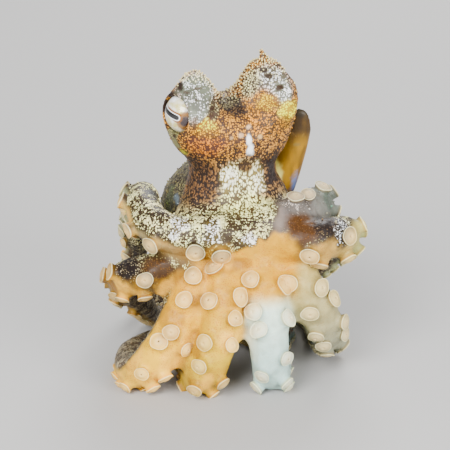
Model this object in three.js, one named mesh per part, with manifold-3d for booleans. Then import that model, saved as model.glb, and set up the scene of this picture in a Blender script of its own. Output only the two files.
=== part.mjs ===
// A veined (coconut) octopus, life size, sitting up on its arms. Millimetres, +Z up.
// The animal faces -Y. Its own right side is at -X and its own left side at +X.
// Head and neck stand up over the arm crown, the mantle hangs behind them, and the eight
// arms leave the crown, reach the floor at Z = 0 and run back along it to their tips.
// Each flesh piece is trimmed by the pieces made before it, so that neighbours keep a thin gap.
import * as THREE from "three";
import { mergeVertices } from "three/addons/utils/BufferGeometryUtils.js";
import Module from "manifold-3d";

const wasm = await Module();
wasm.setup();

// ---- driving dimensions, mm ----
const GAP = 0.3; // clearance between neighbouring pieces
const MANTLE_LENGTH = 44;
const MANTLE_WIDTH = 30;
const MANTLE_HEIGHT = 26;
const MANTLE_DROOP = THREE.MathUtils.degToRad(20); // how far the mantle's tip hangs down
const EYE_RADIUS = 4.5;
const HEAD_TURN = THREE.MathUtils.degToRad(20); // the face looks a little to the animal's left
const ARM_BASE_RADIUS = 5.2;
const ARM_TIP_RADIUS = 0.75;
const ARM_TAPER = 0.75; // exponent: below 1 keeps the arm stout for longer
const ARM_FLATNESS = 0.92; // thickness through the suckers, as a share of the width
const ARM_CUTS = [0, 0.24, 0.5, 1]; // where each arm is divided into lengths
const SUCKER_SHARE = 0.47; // sucker rim radius as a share of the arm's radius
const SUCKER_PITCH = 1.95; // step between suckers, in sucker radii
const SUCKER_SPLAY = THREE.MathUtils.degToRad(34); // the two rows lean apart by this
const SUCKER_RANGE = [0.1, 0.4]; // share of the arm that carries the large suckers
const SUCKER_SIDES = 6;
const WEB_THICKNESS = 1.8;
const FLOOR_DEPTH = 20;
const FLOOR_SIZE = 300;

// ---- materials ----
const material = (color, roughness) => new THREE.MeshStandardMaterial({ color, roughness, metalness: 0 });
const MATERIALS = {
  mottled: material(0x9a6f48, 0.5),
  speckled: material(0xb59a78, 0.5),
  oral: material(0xe8b26a, 0.4),
  pale: material(0xd5d8d8, 0.35),
  siphon: material(0xd79a18, 0.35),
  eye: material(0xe9e3cf, 0.15),
  papilla: material(0xc9c4b0, 0.6),
};

// ---- solids ----
const vec = (p) => new THREE.Vector3(...p);

function solidOf(geometry) {
  geometry.deleteAttribute("normal");
  geometry.deleteAttribute("uv");
  const merged = mergeVertices(geometry, 1e-4);
  return new wasm.Manifold(
    new wasm.Mesh({
      numProp: 3,
      vertProperties: merged.attributes.position.array,
      triVerts: new Uint32Array(merged.index.array),
    }),
  );
}

function geometryOf(solid) {
  const mesh = solid.getMesh();
  const geometry = new THREE.BufferGeometry();
  geometry.setAttribute("position", new THREE.BufferAttribute(mesh.vertProperties, 3));
  geometry.setIndex(new THREE.BufferAttribute(mesh.triVerts, 1));
  geometry.computeVertexNormals();
  return geometry;
}

const joined = (solids) => wasm.Manifold.union(solids);

// Moves every vertex of a geometry by a function of its place.
function reshape(geometry, place) {
  const position = geometry.attributes.position;
  const p = new THREE.Vector3();
  for (let i = 0; i < position.count; i++) {
    p.fromBufferAttribute(position, i);
    place(p);
    position.setXYZ(i, p.x, p.y, p.z);
  }
  return geometry;
}

// An ellipsoid: centre, half sizes, turns about X, Y and Z, and how much fatter its +Y end is.
function blob({ at, half, turn = [0, 0, 0], egg = 0, sides = 9, rings = 6 }, grow = 0) {
  const size = vec(half).addScalar(grow);
  const geometry = new THREE.SphereGeometry(1, sides, rings).rotateX(Math.PI / 2);
  reshape(geometry, (p) => {
    const swell = 1 + egg * p.y;
    p.set(p.x * size.x * swell, p.y * size.y, p.z * size.z * swell);
  });
  geometry.applyMatrix4(new THREE.Matrix4().makeRotationFromEuler(new THREE.Euler(...turn)));
  geometry.translate(...at);
  return solidOf(geometry);
}

// A limb follows a smooth route. At each share u of its length it has a point, a tangent,
// the direction its oral (sucker) side faces, and its radius across and through.
class Limb {
  constructor({ route, oral, radii, taper }) {
    this.curve = new THREE.CatmullRomCurve3(route.map(vec));
    this.facing = new THREE.CatmullRomCurve3(oral.map(vec), false, "catmullrom");
    this.radii = radii && new THREE.CatmullRomCurve3(radii.map(([a, b]) => new THREE.Vector3(a, b, 0)));
    this.taper = taper;
  }

  get length() {
    return this.curve.getLength();
  }

  radiusAt(u, t) {
    if (!this.radii) {
      const across = this.taper(u);
      return [across, across * ARM_FLATNESS];
    }
    const pair = this.radii.getPoint(t);
    return [pair.x, pair.y];
  }

  at(u) {
    const t = this.curve.getUtoTmapping(u);
    const tangent = this.curve.getTangent(t);
    const oral = this.facing.getPoint(t);
    oral.addScaledVector(tangent, -oral.dot(tangent)).normalize();
    const side = new THREE.Vector3().crossVectors(tangent, oral);
    return { point: this.curve.getPoint(t), tangent, oral, side, radius: this.radiusAt(u, t) };
  }

  // The closed tube between two shares of the length, fatter by grow and longer by it at each end.
  tube(from, to, sides, steps, grow = 0, longer = grow) {
    const geometry = new THREE.CylinderGeometry(1, 1, 1, sides, steps);
    reshape(geometry, (p) => {
      const { point, tangent, oral, side, radius } = this.at(from + (p.y + 0.5) * (to - from));
      const end = Math.abs(p.y) > 0.499 ? Math.sign(p.y) * longer : 0;
      const across = p.x * (radius[0] + grow);
      const through = p.z * (radius[1] + grow);
      p.copy(point).addScaledVector(side, across).addScaledVector(oral, through);
      p.addScaledVector(tangent, end);
    });
    return solidOf(geometry);
  }
}

// ---- head, neck, mantle and siphon ----
const HEAD_BLOBS = [
  { at: [1.6, 1.8, 55], half: [12.4, 8.4, 7.6], turn: [0, 0, HEAD_TURN], sides: 12, rings: 7 },
  { at: [-7.2, -1.8, 58.9], half: [5.5, 5.8, 8.1], turn: [0, 0, HEAD_TURN] },
  { at: [9, 3.2, 60], half: [6.7, 6.2, 7.4], turn: [0, 0.15, HEAD_TURN] },
];
const EYES = {
  right: [-8.4, -2.8, 60.2],
  left: [11.3, 5.6, 60.4],
};
const EYE_HALF = [EYE_RADIUS, EYE_RADIUS, EYE_RADIUS];
const PAPILLA_ROOT = 0.35; // share of each papilla's length that belongs to the head
const PAPILLAE = {
  right: new Limb({
    route: [[-6.4, -1.4, 63], [-6.6, -1.2, 65.8], [-6.7, -1.1, 67.4], [-6.4, -1, 68.8]],
    oral: [[0, -1, 0], [0, -1, 0], [0, -1, 0], [0, -1, 0]],
    radii: [[5.2, 4.8], [3.6, 3.4], [1.9, 1.8], [0.6, 0.6]],
  }),
  left: new Limb({
    route: [[8.6, 3.3, 62], [8.4, 3.1, 66.9], [8.4, 3, 70], [7.8, 3, 72.6]],
    oral: [[0, -1, 0], [0, -1, 0], [0, -1, 0], [0, -1, 0]],
    radii: [[7.4, 6], [4.4, 3.9], [1.3, 1.2], [0.45, 0.45]],
  }),
};
const NECK = new Limb({
  route: [[2.4, 2, 34.5], [2.1, 2.6, 38.5], [1.7, 3.2, 43], [1.4, 3, 48], [1.5, 2.4, 55]],
  oral: [[0, -1, 0], [0, -1, 0], [0, -1, 0], [0, -1, 0], [0, -1, 0]],
  radii: [[13.6, 9.6], [11.8, 9.2], [9.9, 8.4], [9.4, 7.9], [11, 8]],
});
const MANTLE = {
  at: [0, 21.5, 31],
  half: [MANTLE_WIDTH / 2, MANTLE_LENGTH / 2, MANTLE_HEIGHT / 2],
  turn: [-MANTLE_DROOP, 0, 0],
  egg: 0.1,
  sides: 12,
  rings: 9,
};
const SIPHON = new Limb({
  route: [[7, 12, 30], [11.5, 11.8, 39], [14.6, 10.4, 48], [16.4, 9, 57.4]],
  oral: [[0, -1, 0], [0, -1, 0], [0, -1, 0], [0, -1, 0]],
  radii: [[4.4, 4], [4, 3.4], [3.4, 2.9], [3.3, 2.7]],
});
const SIPHON_WALL = 0.8;
const SIPHON_BORE_FROM = 0.72; // the funnel's mouth is hollow from here to its end

function siphonTube(grow) {
  const outside = SIPHON.tube(0, 1, 10, 6, grow);
  if (grow) return outside;
  return outside.subtract(SIPHON.tube(SIPHON_BORE_FROM, 1, 8, 2, -SIPHON_WALL, SIPHON_WALL));
}

// ---- arm crown ----
const CROWN_BLOBS = [
  { at: [3, -2.2, 31.5], half: [15, 10, 8.6], turn: [0, 0, 0.06], sides: 14, rings: 7 },
  { at: [2, 3.5, 29], half: [12, 10, 8], sides: 12, rings: 6 },
];

// ---- arms: routes from the crown to the tip, and where the suckers face at each point ----
const armRadius = (u) => ARM_TIP_RADIUS + (ARM_BASE_RADIUS - ARM_TIP_RADIUS) * (1 - u) ** ARM_TAPER;
const arm = (rows) => {
  const [route, oral] = [rows.map((row) => row.slice(0, 3)), rows.map((row) => row.slice(3))];
  return new Limb({ route, oral, taper: armRadius });
};

// Each row is a place, then the direction in which the suckers face there.
const ARMS = {
  right_1: arm([
    [8, -5, 33.4, 0, -0.4, -0.9],
    [-2, -9.6, 35, 0, -0.5, -0.9],
    [-9.5, -11, 35.2, -0.1, -0.5, -0.85],
    [-15, -8.8, 36.6, -0.5, -0.4, -0.7],
    [-17.6, -3.2, 38.4, -0.9, -0.2, -0.35],
    [-18.2, 4, 38.6, -1, 0, -0.1],
    [-19, 11.4, 35, -0.95, 0.1, -0.1],
    [-20.2, 18.6, 28.6, -0.95, 0.1, -0.1],
    [-20.8, 25.4, 20.4, -0.9, 0.1, -0.3],
    [-21.2, 31.6, 11.8, -0.7, 0.2, -0.6],
    [-19.6, 37, 4.6, -0.2, 0.3, -0.9],
    [-14.6, 41, 1.6, 0, 0, -1],
    [-9, 42.6, 1, 0, 0, -1],
    [-3.8, 41.4, 0.6, 0, 0, -1],
  ]),
  right_2: arm([
    [0, -3, 29.5, 0, -0.5, -0.8],
    [-8.6, -8, 28, 0, -0.5, -0.8],
    [-15.4, -8.8, 26.2, -0.2, -0.5, -0.8],
    [-20.6, -5, 23.6, -0.85, -0.3, -0.4],
    [-22.8, 2.4, 19.8, -0.95, -0.1, -0.3],
    [-21.4, 9.8, 14.6, -0.9, 0, -0.4],
    [-18.8, 16.8, 9, -0.7, 0, -0.7],
    [-17.4, 24, 4, -0.3, 0.1, -0.95],
    [-16.4, 30, 1.9, 0, 0, -1],
    [-13, 34.8, 1.2, 0, 0, -1],
    [-8, 36.6, 0.6, 0, 0, -1],
  ]),
  right_3: arm([
    [-3, -5, 28.5, 0.1, -0.9, -0.2],
    [-7, -11.2, 21.5, 0.3, -0.95, 0],
    [-11.2, -14.2, 14.4, 0.3, -0.95, 0],
    [-15.4, -15, 8.6, 0.2, -0.95, -0.2],
    [-19, -12.4, 4.4, 0, -0.6, -0.8],
    [-21, -6, 3.1, 0, 0, -1],
    [-21.2, 1.6, 2.8, 0, 0, -1],
    [-18.6, 9, 2.4, 0, 0, -1],
    [-14.2, 14.8, 1.9, 0, 0, -1],
    [-9.4, 19, 1.5, 0, 0, -1],
    [-5, 24, 1, 0, 0, -1],
    [-3, 29, 0.6, 0, 0, -1],
  ]),
  right_4: arm([
    [0.5, -6, 29, 0, -0.9, -0.2],
    [-0.2, -12.6, 22, 0, -1, 0],
    [-1.4, -15.6, 14.5, 0, -1, 0],
    [-3.4, -16.8, 8, 0, -0.95, -0.2],
    [-5, -14.8, 4.1, 0, -0.6, -0.8],
    [-6.8, -8, 3.1, 0, 0, -1],
    [-8, 0, 2.8, 0, 0, -1],
    [-7.4, 9, 2.5, 0, 0, -1],
    [-4.6, 14.6, 2, 0, 0, -1],
    [0.4, 17.6, 1.5, 0, 0, -1],
    [5, 15.8, 1, 0, 0, -1],
    [6.6, 11.6, 0.6, 0, 0, -1],
  ]),
  left_4: arm([
    [6.5, -5.5, 29, 0.1, -0.9, -0.2],
    [8.4, -11.2, 21.6, 0.25, -0.95, 0],
    [9.3, -13.6, 14, 0.25, -0.95, 0],
    [9.8, -14.8, 7.8, 0.2, -0.95, -0.2],
    [10.2, -12.8, 4.3, 0, -0.6, -0.8],
    [11, -6, 3.1, 0, 0, -1],
    [11, 3, 2.8, 0, 0, -1],
    [12, 11, 2.5, 0, 0, -1],
    [14, 18.6, 1.9, 0, 0, -1],
    [13.2, 24.2, 1.5, 0, 0, -1],
    [9.4, 28, 1, 0, 0, -1],
    [4.4, 28.4, 0.6, 0, 0, -1],
  ]),
  left_3: arm([
    [11, -3.5, 29, 0.3, -0.85, -0.3],
    [15.8, -7.4, 23.8, 0.45, -0.85, -0.2],
    [19.8, -7.8, 17.8, 0.5, -0.8, -0.3],
    [22, -4.4, 11.8, 0.5, -0.7, -0.5],
    [23.2, 2.4, 7.2, 0.3, -0.4, -0.85],
    [23.2, 10, 4.2, 0.1, -0.1, -1],
    [22.4, 17, 2.4, 0, 0, -1],
    [21.6, 23.6, 1.9, 0, 0, -1],
    [18.4, 29.4, 1.5, 0, 0, -1],
    [13.6, 33.4, 1, 0, 0, -1],
    [8.4, 35, 0.6, 0, 0, -1],
  ]),
  left_2: arm([
    [9, -3.5, 32, 0.1, -0.4, -0.9],
    [16.4, -8.6, 33.4, 0.2, -0.4, -0.9],
    [21.6, -7.2, 33.2, 0.6, -0.5, -0.6],
    [25.2, -1.4, 32, 0.95, -0.2, -0.3],
    [26, 6, 29.4, 0.98, 0, -0.2],
    [25, 13.4, 25, 0.95, 0.1, -0.3],
    [22.4, 20.6, 19, 0.9, 0.2, -0.4],
    [19, 27.4, 12.4, 0.8, 0.2, -0.6],
    [16, 34, 6, 0.4, 0.3, -0.85],
    [12.6, 40, 2.2, 0, 0.1, -1],
    [7.4, 43.4, 1.2, 0, 0, -1],
    [1.6, 43.6, 0.6, 0, 0, -1],
  ]),
  left_1: arm([
    [4, -4.5, 34.6, 0, -0.8, 0.5],
    [12.4, -6.6, 36.4, 0.1, -0.85, 0.5],
    [17.4, -1.2, 36.6, 0.5, -0.6, 0.6],
    [20, 6, 36.4, 0.9, -0.2, 0.3],
    [20, 14, 33.4, 0.95, 0.1, -0.1],
    [18, 21.6, 28, 0.9, 0.2, -0.3],
    [14.6, 29, 21.4, 0.8, 0.4, -0.4],
    [10.6, 36, 14.4, 0.6, 0.5, -0.5],
    [5.6, 42.4, 7.2, 0.3, 0.5, -0.8],
    [-0.4, 46.8, 2.2, 0, 0.2, -1],
    [-6.4, 48.4, 1.1, 0, 0, -1],
    [-12, 47.4, 0.6, 0, 0, -1],
  ]),
};
const ARM_PARTS = ["base", "middle", "tip"];
const ARM_SIDES = [8, 7, 6];
const ARM_STEPS = [4, 5, 7];

// One sucker stands on the arm's surface: a short stalk that flares to a cupped rim.
function sucker(limb, u, lean, grow) {
  const { point, tangent, oral, side, radius } = limb.at(u);
  const rim = radius[0] * SUCKER_SHARE;
  const height = rim * 0.9;
  const axis = oral.clone().multiplyScalar(Math.cos(lean)).addScaledVector(side, Math.sin(lean));
  const profile = [
    [0, -rim],
    [0.65 * rim + grow, -rim],
    [rim + grow, height + grow],
    [0, height * 0.6 + grow],
  ];
  const geometry = new THREE.LatheGeometry(profile.map(([x, y]) => new THREE.Vector2(x, y)), SUCKER_SIDES);
  const across = new THREE.Vector3().crossVectors(tangent, axis).normalize();
  const along = new THREE.Vector3().crossVectors(axis, across);
  const foot = point.clone().addScaledVector(axis, radius[1] * 0.96);
  geometry.applyMatrix4(new THREE.Matrix4().makeBasis(along, axis, across).setPosition(foot));
  return solidOf(geometry);
}

// The places of an arm's large suckers: shares of its length, leaning to each side in turn.
function suckerPlaces(limb) {
  const places = [];
  let [u, last] = SUCKER_RANGE;
  for (let side = 1; u < last; side = -side) {
    places.push({ u, lean: side * SUCKER_SPLAY });
    u += (armRadius(u) * SUCKER_SHARE * SUCKER_PITCH) / limb.length;
  }
  return places;
}

function armPart(limb, index, grow) {
  const [from, to] = [ARM_CUTS[index], ARM_CUTS[index + 1]];
  const onThis = suckerPlaces(limb).filter(({ u }) => u >= from && u < to);
  return joined([
    limb.tube(from, to, ARM_SIDES[index], ARM_STEPS[index], grow),
    ...onThis.map(({ u, lean }) => sucker(limb, u, lean, grow)),
  ]);
}

// ---- webs: a thin sheet between two neighbouring arms, arched at its free edge ----
const WEBS = [
  { name: "web_right_2_3", between: ["right_2", "right_3"], reach: 24, arch: 0.3 },
  { name: "web_right_3_4", between: ["right_3", "right_4"], reach: 33, arch: 0.2 },
  { name: "web_ventral", between: ["right_4", "left_4"], reach: 24, arch: 0.25 },
  { name: "web_left_3_4", between: ["left_4", "left_3"], reach: 22, arch: 0.25 },
];
const WEB_START = 3; // mm along the arms
const WEB_COLUMNS = 4;
const WEB_ROWS = 3;

function web({ between, reach, arch }) {
  const [a, b] = between.map((name) => ARMS[name]);
  const middle = (row, w) => {
    const s = THREE.MathUtils.lerp(WEB_START, reach * (1 - arch * Math.sin(Math.PI * w)), row);
    return a.at(s / a.length).point.lerp(b.at(s / b.length).point, w);
  };
  const step = 0.01; // share over which the sheet's slope is taken
  const geometry = new THREE.BoxGeometry(1, 1, 1, WEB_COLUMNS, WEB_ROWS, 1);
  reshape(geometry, (p) => {
    const [w, row] = [p.x + 0.5, 0.5 - p.y];
    const centre = middle(row, w);
    const alongW = middle(row, Math.min(w + step, 1)).sub(middle(row, Math.max(w - step, 0)));
    const alongRow = middle(Math.min(row + step, 1), w).sub(middle(Math.max(row - step, 0), w));
    const normal = alongRow.cross(alongW).normalize();
    const offset = p.z * WEB_THICKNESS;
    p.copy(centre).addScaledVector(normal, offset);
  });
  return solidOf(geometry);
}

// ---- assembly: nodes in the order in which they trim one another ----
const NODES = [];
const addNode = (name, finish, build) => NODES.push({ name, finish, build });

for (const [side, at] of Object.entries(EYES))
  addNode(`eye_${side}`, "eye", (grow) => blob({ at, half: EYE_HALF, sides: 10, rings: 6 }, grow));
for (const [side, papilla] of Object.entries(PAPILLAE))
  addNode(`papilla_${side}`, "papilla", (grow) => papilla.tube(PAPILLA_ROOT, 1, 8, 3, grow));
addNode("head", "mottled", (grow) =>
  joined([
    ...HEAD_BLOBS.map((shape) => blob(shape, grow)),
    ...Object.values(PAPILLAE).map((papilla) => papilla.tube(0, PAPILLA_ROOT, 8, 1, grow)),
  ]),
);
addNode("neck", "speckled", (grow) => NECK.tube(0, 1, 12, 4, grow));
addNode("siphon", "siphon", siphonTube);
addNode("mantle", "mottled", (grow) => blob(MANTLE, grow));
addNode("crown", "speckled", (grow) => joined(CROWN_BLOBS.map((shape) => blob(shape, grow))));
for (const [name, limb] of Object.entries(ARMS))
  ARM_PARTS.forEach((part, index) =>
    addNode(`arm_${name}_${part}`, index ? "pale" : "oral", (grow) => armPart(limb, index, grow)),
  );
for (const sheet of WEBS) addNode(sheet.name, "oral", () => web(sheet));

const floorBox = new THREE.BoxGeometry(FLOOR_SIZE, FLOOR_SIZE, FLOOR_DEPTH);
const floor = solidOf(floorBox.translate(0, 0, -FLOOR_DEPTH / 2));
const largest = (solid) => solid.decompose().sort((a, b) => b.volume() - a.volume())[0];

const octopus = new THREE.Group();
const made = [];
for (const { name, finish, build } of NODES) {
  const trimmed = build(0).subtract(joined([floor, ...made]));
  const mesh = new THREE.Mesh(geometryOf(largest(trimmed)), MATERIALS[finish]);
  mesh.name = name;
  octopus.add(mesh);
  made.push(build(GAP));
}

// The origin is the middle of the footprint, on the floor.
const bounds = new THREE.Box3().setFromObject(octopus);
const middle = bounds.getCenter(new THREE.Vector3());
octopus.position.set(-middle.x, -middle.y, -bounds.min.z);

export default octopus;
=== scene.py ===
"""A veined octopus, life size, sitting up on its arms: skin, suckers, eyes and a plain studio.

Shapes are worked out in millimetres in the frame of the solids' own routes and put into the
scene in metres. The animal faces -Y, with its own right side at -X.
"""

import math

import bpy
import numpy as np
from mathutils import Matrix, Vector


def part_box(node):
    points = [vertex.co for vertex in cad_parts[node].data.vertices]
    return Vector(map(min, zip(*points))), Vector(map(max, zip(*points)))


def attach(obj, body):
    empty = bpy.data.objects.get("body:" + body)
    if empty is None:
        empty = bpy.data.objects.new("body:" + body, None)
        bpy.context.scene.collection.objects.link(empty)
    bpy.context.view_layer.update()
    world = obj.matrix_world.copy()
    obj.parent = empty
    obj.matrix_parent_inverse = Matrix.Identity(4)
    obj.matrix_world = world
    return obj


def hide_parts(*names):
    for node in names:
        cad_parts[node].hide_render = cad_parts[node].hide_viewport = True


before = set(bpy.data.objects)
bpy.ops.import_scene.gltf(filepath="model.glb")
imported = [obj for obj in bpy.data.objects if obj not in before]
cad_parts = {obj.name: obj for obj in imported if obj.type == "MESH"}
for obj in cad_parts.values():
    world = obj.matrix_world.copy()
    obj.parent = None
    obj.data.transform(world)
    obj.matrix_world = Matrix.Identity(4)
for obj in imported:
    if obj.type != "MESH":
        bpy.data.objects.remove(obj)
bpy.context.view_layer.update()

bl_info = {
    "name": "Veined octopus",
    "version": (1, 0, 0),
    "blender": (4, 5, 0),
    "location": "View3D > Sidebar > Octopus",
    "description": "Builds a life-size veined octopus around its packed solids",
    "category": "Object",
}

MM = 0.001

# ---- sizes shared with the solids, mm ----
MANTLE_LENGTH, MANTLE_WIDTH, MANTLE_HEIGHT = 44, 30, 26
MANTLE_DROOP = math.radians(20)
HEAD_TURN = math.radians(20)
ARM_BASE_RADIUS, ARM_TIP_RADIUS, ARM_TAPER, ARM_FLATNESS = 5.2, 0.75, 0.75, 0.92
EYE_AT = {"right": (-8.4, -2.8, 60.2), "left": (11.3, 5.6, 60.4)}
EYE_OUTWARD = 10  # degrees that each eye looks forward of straight sideways
SIPHON_WALL, SIPHON_BORE_FROM = 0.8, 0.72

LIMB_STEP = 0.4  # mm between the samples of a route
FAR = 9.0  # mm: the field's value away from every surface
MARGIN = 2.6  # mm around a shape in which its field is worked out


# ---- curves ----
def spline(points, t, even=False):
    """Points on the smooth curve through points at shares t; even spacing of its knots if even."""
    p = np.asarray(points, float)
    p = np.vstack([2 * p[0] - p[1], p, 2 * p[-1] - p[-2]])
    last = len(points) - 2
    place = np.clip(np.asarray(t, float), 0, 1) * (last + 1)
    i = np.minimum(place.astype(int), last)
    w = (place - i)[:, None]
    a, b, c, d = (p[i + k] for k in range(4))
    if even:
        out_b, in_c = (c - a) / 2, (d - b) / 2
    else:
        gaps = [np.linalg.norm(y - x, axis=1)[:, None] ** 0.5 for x, y in ((a, b), (b, c), (c, d))]
        g1 = np.maximum(gaps[1], 1e-4)
        g0, g2 = (np.where(g < 1e-4, g1, g) for g in (gaps[0], gaps[2]))
        out_b = ((b - a) / g0 - (c - a) / (g0 + g1) + (c - b) / g1) * g1
        in_c = ((c - b) / g1 - (d - b) / (g1 + g2) + (d - c) / g2) * g1
    bend = -3 * b + 3 * c - 2 * out_b - in_c
    return b + out_b * w + bend * w**2 + (2 * b - 2 * c + out_b + in_c) * w**3


def unit(v):
    """v with each of its rows made one long."""
    v = np.asarray(v, float)
    return v / np.maximum(np.linalg.norm(v, axis=-1, keepdims=True), 1e-9)


def smooth(value, low, high):
    """0 below low, 1 above high, and an even passage between them."""
    t = np.clip((value - low) / (high - low), 0, 1)
    return t * t * (3 - 2 * t)


def mix(a, b, share):
    """a at share 0, b at share 1, and evenly between them."""
    return a + (b - a) * share


class Limb:
    """A route with a point, tangent, facing direction and two radii at each share of its length."""

    def __init__(self, route, oral, radii=None):
        self.route, self.facing, self.radii = route, oral, radii
        t = np.linspace(0, 1, 2001)
        steps = np.linalg.norm(np.diff(spline(route, t), axis=0), axis=1)
        self.table = t, np.concatenate([[0], np.cumsum(steps)])
        self.length = self.table[1][-1]
        self.u = np.linspace(0, 1, int(self.length / LIMB_STEP) + 2)
        self.point, self.tangent, self.oral, self.side, self.radius = self.at(self.u)

    def at(self, u):
        t = np.interp(np.atleast_1d(u) * self.length, self.table[1], self.table[0])
        point = spline(self.route, t)
        tangent = unit(spline(self.route, t + 1e-3) - spline(self.route, t - 1e-3))
        oral = spline(self.facing, t, even=True)
        oral = unit(oral - tangent * (oral * tangent).sum(1, keepdims=True))
        side = np.cross(tangent, oral)
        if self.radii:
            radius = spline([(a, b, 0) for a, b in self.radii], t)[:, :2]
        else:
            across = arm_radius(np.atleast_1d(u))
            radius = np.stack([across, across * ARM_FLATNESS], 1)
        return point, tangent, oral, side, radius


def arm_radius(u):
    """An arm's radius across, at shares u of its length."""
    return ARM_TIP_RADIUS + (ARM_BASE_RADIUS - ARM_TIP_RADIUS) * np.clip(1 - u, 0, 1) ** ARM_TAPER


def arm(rows):
    """An arm from its rows of places and sucker directions."""
    return Limb([row[:3] for row in rows], [row[3:] for row in rows])


def upright(route, radii):
    """A limb whose front stays towards -Y."""
    return Limb(route, [(0, -1, 0)] * len(route), radii)


# ---- the animal's shapes, as in the solids ----
# A blob is its middle, its half sizes, its turns, and how much fuller it is towards +Y.
HEAD_BLOBS = [
    ((1.6, 1.8, 54.6), (12.4, 8.4, 7.1), (0, 0, HEAD_TURN), 0),
    ((-7.2, -1.8, 58.7), (5.5, 5.8, 7.5), (0, 0, HEAD_TURN), 0),
    ((9, 3.2, 60), (6.7, 6.2, 7.4), (0, 0.15, HEAD_TURN), 0),
]
CROWN_BLOBS = [
    ((3, -2.2, 31.5), (15, 10, 8.6), (0, 0, 0.06), 0),
    ((2, 3.5, 29), (12, 10, 8), (0, 0, 0), 0),
]
MANTLE_BLOB = (
    (0, 21.5, 31),
    (MANTLE_WIDTH / 2, MANTLE_LENGTH / 2, MANTLE_HEIGHT / 2),
    (-MANTLE_DROOP, 0, 0),
    0.1,
)
PAPILLAE = {
    "right": upright(
        [(-6.4, -1.4, 63), (-6.6, -1.2, 65.8), (-6.7, -1.1, 67.4), (-6.4, -1, 68.8)],
        [(4.8, 4.6), (3.1, 3), (1.6, 1.5), (0.5, 0.5)],
    ),
    "left": upright(
        [(8.6, 3.3, 62), (8.4, 3.1, 66.9), (8.4, 3, 70), (7.8, 3, 72.6)],
        [(7.4, 6), (4.4, 3.9), (1.3, 1.2), (0.45, 0.45)],
    ),
}
NECK = upright(
    [(2.4, 2, 34.5), (2.1, 2.6, 38.5), (1.7, 3.2, 43), (1.4, 3, 48), (1.5, 2.4, 55)],
    [(13.6, 9.6), (11.8, 9.2), (9.9, 8.4), (9.4, 7.9), (11, 8)],
)
SIPHON = upright(
    [(7, 12, 30), (11.5, 11.8, 39), (14.6, 10.4, 48), (16.4, 9, 57.4)],
    [(4.4, 4), (4, 3.4), (3.4, 2.9), (3.3, 2.7)],
)
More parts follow.
